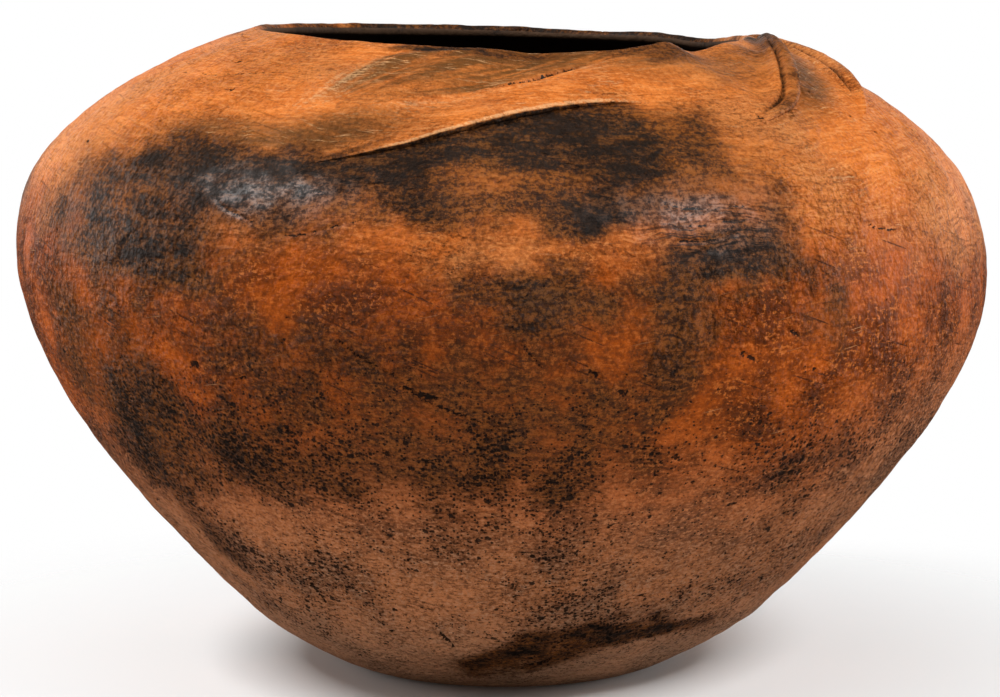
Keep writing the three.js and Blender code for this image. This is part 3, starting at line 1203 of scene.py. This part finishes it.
    def build(self, relief: Relief) -> bpy.types.Object:
        """Carries the lap's section along its two lines over the shoulder.

        Args:
            relief: The pot's form and relief.

        Returns:
            The piece.
        """
        form = relief.form
        share = np.linspace(0.0, 1.0, self.along)
        inner = self._line(self.inner, share)
        outer = self._line(self.outer, share)
        span = (outer - inner)[:, :2] * np.array([math.radians(1.0) * self.radius, self.reach])
        width = np.linalg.norm(span, axis=1)
        span = span / width[:, None]
        lap = self._section(share, inner[:, 2], outer[:, 2], width)
        place = inner[:, None, :2] + (outer - inner)[:, None, :2] * lap.over[None, :, None]
        radius = form.radius_at(form.length - place[..., 1] * self.reach)
        angle = np.radians(place[..., 0]) + lap.push * span[:, None, 0] / radius
        below = place[..., 1] * self.reach + lap.push * span[:, None, 1]
        surface = relief.clothe(angle, form.length - below, lap.lift - self.sink, np.ones(angle.shape))
        surface.climb = surface.climb + lap.lift
        if self.groove > 0.0:
            self._soot_furrow(surface, lap)
        if self.blend is Blend.CLEAN:
            self._wipe_clean(surface, lap, share)
        surface = Surface(*[np.swapaxes(v, 0, 1).copy() for v in vars(surface).values()])
        faces = np.zeros(len(surface.places), int)
        return Skin(f"{self.name}_lap").lay(surface, Closing.LAP, faces)


FOLDS = (
    Fold(
        "front_fold",
        112.0,
        4.3,
        (
            (-45, 0.045, 0),
            (-55, 0.027, 0.6),
            (-71, 0.16, 0.5),
            (-86, 0.375, 0.1),
            (-98, 0.64, 0),
            (-112, 0.9, 0),
        ),
        (
            (-59, 0.57, 0),
            (-67, 0.535, 0.08),
            (-77, 0.555, 0.66),
            (-89, 0.67, 1),
            (-101, 0.85, 0.81),
            (-115, 1, 0),
        ),
        crown=0.4,
        climb=0.8,
        blend=Blend.CLEAN,
        along=300,
    ),
    Fold(
        "left_fold",
        78.0,
        2.2,
        ((-108, 0.05, 0), (-118, 0.18, 0), (-126, 0.46, 0), (-130, 0.85, 0)),
        ((-98, 0.05, 0.6), (-110, 0.27, 1), (-117, 0.67, 0.8), (-122, 1, 0)),
        climb=1.3,
        bulge=0.0,
        ramp=11.0,
    ),
    Fold(
        "side_fold_1",
        84.0,
        6.8,
        ((-14, 0.035, 0), (-26, 0.095, 0), (-38, 0.285, 0), (-45, 0.535, 0), (-54, 0.785, 0)),
        ((-3, 0.035, 0.93), (-20, 0.225, 1), (-33, 0.51, 0.87), (-43, 0.8, 0.63), (-55, 1, 0)),
        climb=1.5,
        bulge=1.0,
        groove=2.3,
        groove_at=0.76,
        crest_smoke=0.32,
        taper=(0.16, 0.08),
        along=260,
        across=96,
    ),
    Fold(
        "side_fold_2",
        80.0,
        5.6,
        ((10, 0.05, 0), (-2, 0.2, 0), (-14, 0.45, 0), (-24, 0.775, 0)),
        ((18, 0.06, 0.85), (3, 0.36, 1), (-13, 0.65, 0.98), (-28, 1, 0.3)),
        climb=1.4,
        bulge=1.2,
        groove=2.4,
        groove_at=0.6,
        crest_smoke=0.18,
        taper=(0.14, 0.06),
    ),
    Fold(
        "side_fold_3",
        76.0,
        5.6,
        ((50, 0.05, 0), (38, 0.185, 0), (26, 0.42, 0), (16, 0.735, 0)),
        ((60, 0.065, 0.3), (45, 0.34, 1), (29, 0.66, 0.83), (13, 1, 0)),
        climb=1.4,
        bulge=1.2,
        taper=(0.14, 0.08),
    ),
)


class Wire:
    """A shader socket that takes part in Python expressions."""

    def __init__(self, graph: "Graph", socket: bpy.types.NodeSocket) -> None:
        """Wraps one output socket of a graph."""
        self.graph = graph
        self.socket = socket

    def beside(self, output: str) -> "Wire":
        """Another output of the same node."""
        return Wire(self.graph, self.socket.node.outputs[output])

    def _math(self, operation: str, *values: Any) -> "Wire":
        """Adds a Math node of that operation."""
        return self.graph.node("ShaderNodeMath", {"operation": operation}, dict(enumerate(values)))

    def __add__(self, other: Any) -> "Wire":
        """Sum."""
        return self._math("ADD", self, other)

    __radd__ = __add__

    def __mul__(self, other: Any) -> "Wire":
        """Product."""
        return self._math("MULTIPLY", self, other)

    __rmul__ = __mul__

    def __sub__(self, other: Any) -> "Wire":
        """Difference."""
        return self._math("SUBTRACT", self, other)

    def __rsub__(self, other: Any) -> "Wire":
        """Difference from a number."""
        return self._math("SUBTRACT", other, self)

    def least(self, other: Any) -> "Wire":
        """The smaller of two values."""
        return self._math("MINIMUM", self, other)

    def most(self, other: Any) -> "Wire":
        """The larger of two values."""
        return self._math("MAXIMUM", self, other)

    def rise(self, low: float, high: float) -> "Wire":
        """Smooth rise from 0 at low to 1 at high."""
        settings = {"interpolation_type": "SMOOTHSTEP"}
        return self.graph.node("ShaderNodeMapRange", settings, {0: self, 1: low, 2: high, 3: 0.0, 4: 1.0})


class Graph:
    """Builds the nodes of one material, or of the world, from Python expressions."""

    def __init__(self, owner: bpy.types.Material | bpy.types.World) -> None:
        """Takes a fresh material or world and empties its nodes.

        Args:
            owner: What the nodes belong to.
        """
        owner.use_nodes = True
        self.owner = owner
        self.tree = owner.node_tree
        self.tree.nodes.clear()

    def node(self, kind: str, settings: dict[str, Any], inputs: dict[Any, Any], output: Any = 0) -> Wire:
        """Adds any node: its settings are set first, then its sockets are filled or linked.

        Args:
            kind: The node's type.
            settings: Its own properties.
            inputs: Values or wires by socket number or name.
            output: Which output is wanted.

        Returns:
            A wire from that output.
        """
        made = self.tree.nodes.new(kind)
        for key, value in settings.items():
            setattr(made, key, value)
        for key, value in inputs.items():
            if isinstance(value, Wire):
                self.tree.links.new(value.socket, made.inputs[key])
            else:
                made.inputs[key].default_value = value
        return Wire(self, made.outputs[output] if made.outputs else None)

    def attribute(self, name: str) -> Wire:
        """The value of a point attribute."""
        return self.node("ShaderNodeAttribute", {"attribute_name": name}, {}, "Fac")

    def place(self) -> Wire:
        """The place on the object, in metres."""
        return self.node("ShaderNodeTexCoord", {}, {}, "Object")

    def banded(self, place: Wire, climb: Wire, squeeze: float, tilt: float = 0.0) -> Wire:
        """Coordinates squeezed up the wall, so that noise on them runs level round the pot or aslant.

        Args:
            place: Place on the object.
            climb: Distance up the wall.
            squeeze: How much shorter the noise is up the wall than round it.
            tilt: How far the bands fall from left to right.

        Returns:
            The coordinates.
        """
        x = self.node("ShaderNodeSeparateXYZ", {}, {0: place}, "X")
        y = x.beside("Y")
        return self.node("ShaderNodeCombineXYZ", {}, {0: x, 1: y, 2: (climb + x * tilt) * squeeze})

    def noise(self, place: Wire, scale: float, detail: float, rough: float = 0.6) -> Wire:
        """Fractal noise about 0.5."""
        inputs = {"Vector": place, "Scale": scale, "Detail": detail, "Roughness": rough}
        return self.node("ShaderNodeTexNoise", {}, inputs, "Fac")

    def cells(self, place: Wire, scale: float) -> tuple[Wire, Wire]:
        """Scattered cells of random places.

        Args:
            place: Coordinates.
            scale: Cells to a metre.

        Returns:
            Distance to the nearest cell's middle, in cells, and that cell's own number from 0 to 1.
        """
        inputs = {"Vector": place, "Scale": scale}
        distance = self.node("ShaderNodeTexVoronoi", {"feature": "F1"}, inputs, "Distance")
        return distance, self.node("ShaderNodeSeparateColor", {}, {0: distance.beside("Color")})

    def dashes(self, place: Wire, scale: float, reach: float) -> Wire:
        """Straight scratches: on squeezed coordinates one cell in eight shows a long thin middle."""
        middle, chance = self.cells(place, scale)
        return (reach - middle).rise(0.0, 0.06) * chance.rise(0.87, 0.88)

    def blend(self, share: Any, low: Any, high: Any) -> Wire:
        """A colour between two, by a share."""
        settings = {"data_type": "RGBA", "blend_type": "MIX"}
        return self.node("ShaderNodeMix", settings, {0: share, 6: low, 7: high}, 2)

    def bump(self, height: Wire, distance: float, strength: float, under: Wire | None = None) -> Wire:
        """A normal bent by a height field.

        Args:
            height: The height field.
            distance: Height in metres of a step of 1 in the field.
            strength: Share of the bend that shows.
            under: A normal that is already bent, if any.

        Returns:
            The normal.
        """
        inputs: dict[str, Any] = {"Height": height, "Distance": distance, "Strength": strength}
        if under is not None:
            inputs["Normal"] = under
        return self.node("ShaderNodeBump", {}, inputs)

    def finish(self, sockets: dict[str, Any]) -> bpy.types.Material:
        """Ends a material's graph in a Principled shader.

        Args:
            sockets: Values or wires of the shader, by socket name.

        Returns:
            The material.
        """
        shader = self.node("ShaderNodeBsdfPrincipled", {}, sockets)
        self.node("ShaderNodeOutputMaterial", {}, {"Surface": shader})
        return self.owner


Colour = tuple[float, float, float, float]
WHITE: Colour = (1, 1, 1, 1)


@dataclass(frozen=True)
class Grain:
    """The noises of the clay, which its colours and its relief share.

    Attributes:
        place: Place on the object, in metres.
        climb: Distance up the wall, in metres.
        smoke: How much smoke lies there.
        broad: Noise a hand wide.
        mottle: Noise a finger wide, with fine detail.
        crowd: Noise that gathers specks and grit.
        wrinkle: The finest noise.
        pebble: Rounder fine noise, for the relief.
        speck: Fine noise, a little longer round the pot than up it.
        streak: Noise in level streaks.
        hair: Noise in thin level lines.
        thread: The fine noises together.
        high: Share of shoulder clay.
        low: Share of foot clay.
        grit: Where grit gathers.
    """

    place: Wire
    climb: Wire
    smoke: Wire
    broad: Wire
    mottle: Wire
    crowd: Wire
    wrinkle: Wire
    pebble: Wire
    speck: Wire
    streak: Wire
    hair: Wire
    thread: Wire
    high: Wire
    low: Wire
    grit: Wire


@dataclass(frozen=True)
class Marks:
    """What scratched, burnt or broke the clay, each from 0 to 1.

    Attributes:
        dot: Burnt specks.
        hole: Pits.
        comb: Scraped lines.
        scratch: Pale scratches.
        cut: Dark cuts.
    """

    dot: Wire
    hole: Wire
    comb: Wire
    scratch: Wire
    cut: Wire


@dataclass(frozen=True)
class SpeckSize:
    """Burnt specks of one size, each the middle of a scattered cell.

    Attributes:
        cells: Cells to a metre.
        share: How often a cell has a speck, against the other sizes.
        growth: How far past its chance a speck is full grown.
        least: Radius of the smallest, in cells.
        spread: How much wider the largest is.
        ragged: How ragged the rim is.
        edge: Width of the rim's fading.
    """

    cells: float
    share: float
    growth: float
    least: float
    spread: float
    ragged: float
    edge: float


SPECKS = (
    SpeckSize(620.0, 1.0, 0.7, 0.12, 0.50, 0.7, 0.08),
    SpeckSize(235.0, 0.62, 0.5, 0.07, 0.40, 0.9, 0.05),
)


@dataclass(frozen=True)
class Terracotta:
    """Burnished and smoked terracotta, matte and pitted below the belly."""

    orange: Colour = (0.66, 0.188, 0.034, 1)
    ember: Colour = (0.40, 0.090, 0.011, 1)
    # belly colours: dark clay, partly darkened further as painted shade of the belly turning down from the
    # light
    belly: Colour = (0.36, 0.068, 0.003, 1)
    belly_dark: Colour = (0.095, 0.017, 0.001, 1)
    rose: Colour = (0.49, 0.180, 0.068, 1)
    umber: Colour = (0.22, 0.080, 0.031, 1)
    dark: Colour = (0.055, 0.018, 0.006, 1)
    tan: Colour = (0.120, 0.045, 0.011, 1)
    peach: Colour = (0.68, 0.27, 0.085, 1)
    # ash: pale dust, also the colour of the painted light on the heel
    ash: Colour = (0.46, 0.25, 0.145, 1)
    singe: Colour = (0.180, 0.056, 0.010, 1)
    stain: Colour = (0.090, 0.026, 0.005, 1)
    smoulder: Colour = (0.125, 0.046, 0.012, 1)
    soot: Colour = (0.013, 0.0085, 0.0060, 1)
    char: Colour = (0.009, 0.006, 0.004, 1)
    # pale scuffs and scratches; also the colour of the painted highlight on the fold's rim
    fleck: Colour = (0.80, 0.44, 0.20, 1)

    def material(self) -> bpy.types.Material:
        """Builds the clay's nodes.

        Colour goes from clay, with painted shade on its belly and painted light on its heel, over threads,
        wear with a painted highlight on the fold's rim, and smoke to black marks. The clay is rougher
        below, and a thin coat gleams where it was polished.

        Returns:
            The material.
        """
        g = Graph(bpy.data.materials.new("fired_terracotta"))
        n = self._grain(g)
        marks = self._marks(g, n)
        colour = self._threads(g, n, self._clay(g, n))
        colour = self._wear(g, n, marks, colour)
        colour = self._smoke(g, n, colour)
        black = (marks.hole * 0.9).most(marks.dot * 0.88).most(marks.comb * 0.6).most(marks.cut * 0.65)
        colour = g.blend(black, colour, self.char)
        sheen = g.attribute("sheen")
        gloss = 0.44 + 0.26 * n.low + 0.40 * (n.wrinkle - 0.5) + 0.40 * (n.mottle - 0.5)
        gloss = gloss + 0.25 * marks.hole.most(marks.dot) - 0.12 * sheen
        shine = sheen * n.mottle.rise(0.66, 0.42) * (0.15 + 0.85 * n.thread.rise(0.53, 0.46))
        sockets = {
            "Base Color": colour,
            "Roughness": gloss,
            "Normal": self._relief(g, n, marks),
            "Coat Weight": shine * 0.32 + 0.03,
            "Coat Roughness": 0.31,
            "Specular IOR Level": 0.06,
        }
        return g.finish(sockets)

    @staticmethod
    def _grain(g: Graph) -> Grain:
        """Lays out the noises and the shares of the three clays.

        Args:
            g: The material's graph.

        Returns:
            The noises.
        """
        place, climb = g.place(), g.attribute("climb")
        broad = g.noise(place, 8.0, 3.0)
        mottle = g.noise(place, 36.0, 7.0, 0.66)
        crowd = g.noise(place, 17.0, 4.0, 0.6)
        wrinkle = g.noise(place, 400.0, 4.0, 0.8)
        wander = climb + 0.02 * (crowd - 0.5)
        speck = g.noise(g.banded(place, climb, 1.2), 440.0, 3.0, 0.72)
        hair = g.noise(g.banded(place, wander, 14.0), 60.0, 4.0, 0.66)
        up = climb + 0.06 * (broad - 0.5) + 0.05 * (mottle - 0.5)
        right = g.node("ShaderNodeSeparateXYZ", {}, {0: place}, "X").rise(0.12, 0.23)
        return Grain(
            place=place,
            climb=climb,
            smoke=g.attribute("smoke"),
            broad=broad,
            mottle=mottle,
            crowd=crowd,
            wrinkle=wrinkle,
            pebble=g.noise(place, 300.0, 1.5, 0.5),
            speck=speck,
            streak=g.noise(g.banded(place, wander, 6.0), 34.0, 6.0, 0.68),
            hair=hair,
            thread=0.5 * wrinkle + 0.3 * speck + 0.2 * hair,
            high=up.rise(0.295, 0.345),
            low=(up - 0.06 * right).rise(0.240, 0.120),
            grit=crowd.rise(0.45, 0.6),
        )

    @staticmethod
    def _marks(g: Graph, n: Grain) -> Marks:
        """Specks that crowd below the belly, ragged pits, scraped lines and straight scratches and cuts.

        Args:
            g: The material's graph.
            n: Its noises.

        Returns:
            The marks.
        """
        thick = n.climb.rise(0.300, 0.205) * (0.45 + 0.55 * n.climb.rise(0.01, 0.12))
        often = 0.46 + 1.5 * (n.crowd - 0.5) + 0.9 * (n.mottle - 0.5) + 0.55 * n.smoke.least(0.5)
        often = thick * often + 0.04
        dots = []
        for kind in SPECKS:
            middle, chance = g.cells(n.place, kind.cells)
            size = (chance + kind.share * often - 1.0).rise(0.0, kind.growth)
            inside = kind.least + kind.spread * size - middle + kind.ragged * (n.wrinkle - 0.5)
            dots.append(inside.rise(0.0, kind.edge) * size.rise(0.0, 0.02))
        pit = g.attribute("pit")
        ragged = pit + 1.9 * (n.speck - 0.5) + 1.2 * (n.wrinkle - 0.5)
        scraped = g.attribute("scraped").rise(0.25, 0.8)
        falling = g.dashes(g.banded(n.place, n.climb, 24.0, 0.42), 27.0, 0.30)
        rising = g.dashes(g.banded(n.place, n.climb, 30.0, -0.24), 30.0, 0.20)
        faint = 0.35 + 0.65 * n.mottle.rise(0.58, 0.44)
        return Marks(
            dot=dots[0].most(dots[1]),
            hole=ragged.rise(0.44, 0.62) * pit.rise(0.02, 0.2),
            comb=n.hair.rise(0.53, 0.60) * scraped * n.mottle.rise(0.40, 0.55),
            scratch=rising * (0.35 + 0.65 * n.mottle.rise(0.42, 0.58)) * (1 - 0.8 * n.low),
            cut=falling * faint * (1 - 0.65 * n.high) * n.wrinkle.rise(0.40, 0.50),
        )

    def _clay(self, g: Graph, n: Grain) -> Wire:
        """Rose clay at the foot, dark clay on the belly partly darkened as painted shade, and orange on
        the shoulder, with dust below and painted light on the heel.

        Args:
            g: The material's graph.
            n: Its noises.

        Returns:
            The colour.
        """
        brushed = 0.35 * n.streak + 0.45 * n.mottle + 0.20 * n.wrinkle
        shoulder = g.blend(brushed.rise(0.38, 0.62), self.orange, self.ember)
        # belly: dark clay, partly painted shade
        belly = g.blend((0.25 * n.streak + 0.75 * n.mottle).rise(0.36, 0.62), self.belly, self.belly_dark)
        foot = g.blend((0.35 * n.speck + 0.65 * n.mottle).rise(0.38, 0.64), self.rose, self.umber)
        colour = g.blend(n.low, g.blend(n.high, belly, shoulder), foot)
        dust = (0.5 * n.broad + 0.5 * n.mottle).rise(0.50, 0.66)
        # dust in patches, and a pale ramp towards the heel that is painted light from below
        dust_and_heel_light = dust * (0.03 + 0.14 * n.low) + (0.25 + 0.9 * n.broad) * n.climb.rise(0.12, 0.03)
        colour = g.blend(dust_and_heel_light.least(0.8), colour, self.ash)
        return g.blend(n.broad.rise(0.46, 0.66) * n.high * 0.45, colour, self.peach)

    def _threads(self, g: Graph, n: Grain, colour: Wire) -> Wire:
        """Level hairs on the shoulder, and sunk threads dark and raised ones pale all over.

        Args:
            g: The material's graph.
            n: Its noises.
            colour: The clay's colour.

        Returns:
            The colour.
        """
        colour = g.blend(n.hair.rise(0.52, 0.62) * n.high * 0.52, colour, self.ember)
        colour = g.blend(n.hair.rise(0.46, 0.38) * n.high * 0.46, colour, self.peach)
        sunk = n.thread.rise(0.515, 0.562) * (0.36 + 0.24 * n.grit + 0.26 * n.low - 0.12 * n.high)
        colour = g.blend(sunk, colour, self.dark)
        light = g.blend(n.low, g.blend(n.high, self.orange, self.peach), self.ash)
        raised = n.thread.rise(0.480, 0.435) * (0.30 + 0.24 * n.mottle.rise(0.45, 0.6) + 0.24 * n.low)
        return g.blend(raised, colour, light)

    def _wear(self, g: Graph, n: Grain, marks: Marks, colour: Wire) -> Wire:
        """Brown washes on the shoulder, with pale scuffs, scratches, rubbing along the tongue's lines and
        a painted highlight along the fold's lower rim.

        Args:
            g: The material's graph.
            n: Its noises.
            marks: Its marks.
            colour: The colour so far.

        Returns:
            The colour.
        """
        browned, rubbed = g.attribute("browned"), g.attribute("rubbed")
        tan = browned * (0.98 + 1.5 * (n.streak - 0.5) + 1.6 * (n.thread - 0.5))
        colour = g.blend(tan.rise(-0.05, 1.0), colour, self.tan)
        scuff = n.hair.rise(0.585, 0.66) * n.mottle.rise(0.49, 0.60).most(0.8 * browned) * n.high
        # rubbing on the tongue's lines, and the painted highlight along the fold's lower rim
        wear_and_rim_highlight = (0.55 * n.speck + 0.45 * n.hair + 0.12 * rubbed).rise(0.56, 0.66) * rubbed
        pale = (scuff * (0.45 + 0.3 * browned)).most(marks.scratch * 0.38).most(wear_and_rim_highlight * 0.5)
        return g.blend(pale, colour, self.fleck)

    def _smoke(self, g: Graph, n: Grain, colour: Wire) -> Wire:
        """Smoke stains the clay, then singes it, then covers it with soot where a ragged noise allows.

        Args:
            g: The material's graph.
            n: Its noises.
            colour: The colour so far.

        Returns:
            The colour.
        """
        torn = 1.3 * (n.mottle - 0.5) + 0.45 * (n.streak - 0.5) + 0.7 * (n.crowd - 0.5)
        torn = torn + 0.9 * (n.thread - 0.5)
        burnt = n.smoke * 1.22 + 1.05 * torn * n.smoke.rise(0.0, 0.3)
        singed = g.blend(n.thread.rise(0.455, 0.540), self.singe, self.dark)
        woven = 0.28 * n.wrinkle + 0.44 * n.streak + 0.28 * n.mottle
        smoulder = g.blend(n.thread.rise(0.455, 0.545), self.smoulder, self.dark)
        sooty = g.blend(woven.rise(0.425, 0.545), smoulder, self.soot)
        stained = (n.smoke + 0.5 * (n.mottle - 0.5)).rise(0.02, 0.60)
        colour = g.blend(stained * 0.62, colour, self.stain)
        colour = g.blend(burnt.rise(0.12, 0.74) * 0.94, colour, singed)
        return g.blend(burnt.rise(0.50, 1.05) * 0.95, colour, sooty)

    @staticmethod
    def _relief(g: Graph, n: Grain, marks: Marks) -> Wire:
        """Pebbly crust and flakes, thickest below, with every mark sunk into it, over soft dents.

        Args:
            g: The material's graph.
            n: Its noises.
            marks: Its marks.

        Returns:
            The normal.
        """
        flake = g.noise(n.place, 105.0, 4.0, 0.62).rise(0.545, 0.575) * n.grit * n.climb.rise(0.36, 0.30)
        crust = 0.6 + 1.4 * n.grit + 1.8 * n.low
        fine = (1.15 * n.pebble + 0.30 * n.wrinkle + 0.25 * n.speck + 0.10 * n.hair) * crust
        fine = fine + 0.20 * n.streak - 0.9 * flake - 0.8 * marks.dot
        fine = fine - 0.5 * marks.scratch.most(marks.cut) - 0.45 * marks.comb - 0.6 * marks.hole
        return g.bump(n.mottle, 0.0026, 0.5, g.bump(fine, 0.0030, 0.95))


@dataclass(frozen=True)
class ShadedInside:
    """The near-black inside of the pot, painted shade of its hollow."""

    # painted shade: the near-black colour of the pot's shaded hollow
    soot: Colour = (0.013, 0.010, 0.009, 1)
    brown: Colour = (0.075, 0.040, 0.022, 1)

    def material(self) -> bpy.types.Material:
        """Builds dark, rough clay, browner in patches, and browner towards the lip as painted light
        reaching in at the mouth.

        Returns:
            The material.
        """
        g = Graph(bpy.data.materials.new("smoked_inside"))
        place = g.place()
        climb = g.attribute("climb")
        # towards the lip the colour turns browner: painted light reaching in at the mouth
        patchy = g.noise(place, 22.0, 6.0, 0.65) + 0.22 * climb.rise(0.425, 0.455)
        grain = g.noise(place, 300.0, 4.0, 0.6)
        colour = g.blend((0.75 * patchy + 0.25 * grain).rise(0.46, 0.7), self.soot, self.brown)
        gloss = 0.55 + 0.3 * grain
        sockets = {"Base Color": colour, "Roughness": gloss, "Normal": g.bump(grain, 0.0012, 0.6)}
        return g.finish(sockets | {"Specular IOR Level": 0.12})


@dataclass
class FloorPot:
    """The whole pot: base, coils, lip and folds on one form.

    Attributes:
        form: The pot's form.
        matte_courses: How many coil courses above the base are counted under the matte slot.
    """

    form: PotForm = field(default_factory=PotForm)
    matte_courses: int = 4

    def build(self) -> None:
        """Builds every piece, dresses it and ties it to its solid."""
        relief = Relief(self.form)
        wall = WallBuild(relief)
        clay = Terracotta().material()
        inside = ShadedInside().material()
        form = self.form
        self._dress(wall.base("foot_and_heel"), "base_pad", Slot.MATTE, clay, inside)
        for i in range(form.coil_count):
            low = form.base_length + i * form.coil_height
            piece = wall.coil(f"coil_course_{i + 1}", low, low + form.coil_height)
            slot = Slot.MATTE if i < self.matte_courses else Slot.BURNISHED
            self._dress(piece, f"wall_coil_{i + 1}", slot, clay, inside)
        self._dress(wall.lip("rounded_lip"), "lip_coil", Slot.SMOKED, clay, inside)
        for fold in FOLDS:
            self._dress(fold.build(relief), fold.name, Slot.BURNISHED, clay, inside)

    @staticmethod
    def _dress(
        piece: bpy.types.Object,
        node: str,
        slot: Slot,
        clay: bpy.types.Material,
        inside: bpy.types.Material,
    ) -> None:
        """Gives a piece its finishes and puts it in the place of its solid.

        Args:
            piece: The finished mesh object.
            node: Name of the solid that it replaces.
            slot: The record's slot of its finish; not used.
            clay: Finish of its outside.
            inside: Finish of its inside.
        """
        piece.data.materials.append(clay)
        piece.data.materials.append(inside)
        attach(piece, "root")
        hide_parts(node)
        LOG.info("%s: %d faces", piece.name, len(piece.data.polygons))


@dataclass
class Studio:
    """A pale floor that fades into white, soft lamps and the camera.

    Attributes:
        lens: The camera's focal length in millimetres.
        eye: The camera's place in metres.
        pitch: How far it looks down, in radians.
        fade: Distances from the middle between which the floor turns clear.
        fill_light: Strength of the white round about, where the camera doesn't see it.
        floor_side: Half the floor's side.
        floor_points: Points along the floor's side.
        floor_bounce: The floor's colour for the light that it throws back.
        floor_mirrored: Its colour where the pot mirrors it.
        floor_seen: Its colour as the camera sees it.
    """

    lens: float = 136.66
    eye: tuple[float, float, float] = (-0.0029, -1.96, 0.42)
    pitch: float = 0.1303
    fade: tuple[float, float] = (0.14, 0.46)
    fill_light: float = 0.06
    floor_side: float = 2.0
    floor_points: int = 21
    floor_bounce: Colour = (0.80, 0.77, 0.74, 1)
    floor_mirrored: Colour = (0.08, 0.08, 0.08, 1)
    floor_seen: Colour = (0.90, 0.90, 0.90, 1)

    def build(self) -> None:
        """Sets the view transform, the floor, the lamps, the world and the camera."""
        bpy.context.scene.view_settings.view_transform = "Standard"
        self._floor()
        self._world()
        self._lamp("left_softbox", (-1.42, -0.42, 1.90), 0.8, 0.7, 52.0)
        self._lamp("right_softbox", (1.36, -1.00, 1.76), 0.8, 0.7, 46.0)
        self._lamp("low_screen", (0.0, -2.20, 0.10), 2.4, 0.2, 6.0)
        self._lamp("back_screen", (0.0, 2.60, 0.60), 4.5, 1.1, 13.0)
        self._lamp("left_screen", (-2.50, 1.00, 0.55), 2.4, 1.0, 32.0)
        self._lamp("right_screen", (2.50, 0.70, 0.50), 2.4, 1.0, 34.0)
        self._camera()

    def _floor(self) -> None:
        """A level sheet, worked out on a grid, whose rim turns clear so that it runs into white."""
        side = np.linspace(-self.floor_side, self.floor_side, self.floor_points)
        x, y = np.meshgrid(side, side)
        bare = [0 * x] * (len(fields(Surface)) - 1)
        surface = Surface(np.stack([x, y, 0 * x], axis=-1) / MM, *bare)
        floor = Skin("pale_floor").lay(surface, Closing.SHEET, np.zeros(self.floor_points, int))
        g = Graph(bpy.data.materials.new("pale_floor_paint"))
        span = g.node("ShaderNodeVectorMath", {"operation": "LENGTH"}, {0: g.place()}, "Value")
        clear = g.node("ShaderNodeBsdfTransparent", {}, {})
        seen = g.node("ShaderNodeLightPath", {}, {}, "Is Camera Ray")
        mirrored = g.node("ShaderNodeLightPath", {}, {}, "Is Glossy Ray")
        dim = g.blend(mirrored, self.floor_bounce, self.floor_mirrored)
        tone = g.blend(seen, dim, self.floor_seen)
        paint = g.node("ShaderNodeBsdfDiffuse", {}, {"Color": tone})
        share = span.rise(*self.fade) * seen
        mixed = g.node("ShaderNodeMixShader", {}, {0: share, 1: paint, 2: clear})
        g.node("ShaderNodeOutputMaterial", {}, {"Surface": mixed})
        floor.data.materials.append(g.owner)

    def _world(self) -> None:
        """White where the camera looks straight at it, and a dimmer soft light elsewhere."""
        world = bpy.data.worlds.new("white_room")
        bpy.context.scene.world = world
        g = Graph(world)
        seen = g.node("ShaderNodeLightPath", {}, {}, "Is Camera Ray")
        strength = self.fill_light + (1.0 - self.fill_light) * seen
        back = g.node("ShaderNodeBackground", {}, {"Color": WHITE, "Strength": strength})
        g.node("ShaderNodeOutputWorld", {}, {"Surface": back})

    @staticmethod
    def _lamp(name: str, at: tuple[float, float, float], wide: float, tall: float, power: float) -> None:
        """A soft rectangular lamp, turned to the middle of the pot and hidden from the camera.

        Args:
            name: Name of the lamp.
            at: Its place in metres.
            wide: Its width.
            tall: Its height.
            power: Its power in watts.
        """
        light = bpy.data.lights.new(name, "AREA")
        light.shape = "RECTANGLE"
        light.size, light.size_y, light.energy = wide, tall, power
        lamp = bpy.data.objects.new(name, light)
        lamp.location = at
        lamp.visible_camera = False
        aim = POT_MIDDLE - np.array(at)
        flat = math.hypot(aim[0], aim[1])
        lamp.rotation_euler = (math.atan2(flat, -aim[2]), 0.0, math.atan2(aim[1], aim[0]) - math.pi / 2)
        bpy.context.scene.collection.objects.link(lamp)

    def _camera(self) -> None:
        """The camera at the photograph's place, looking along +Y and a little down."""
        data = bpy.data.cameras.new("front_camera")
        data.lens, data.sensor_width = self.lens, SENSOR_WIDTH
        camera = bpy.data.objects.new("front_camera", data)
        camera.location = self.eye
        camera.rotation_euler = (math.pi / 2 - self.pitch, 0.0, 0.0)
        bpy.context.scene.collection.objects.link(camera)
        bpy.context.scene.camera = camera


def main() -> None:
    """Builds the pot and the studio."""
    logging.basicConfig(level=logging.INFO, format="%(name)s %(message)s")
    FloorPot().build()
    Studio().build()


if __name__ == "__main__":
    main()
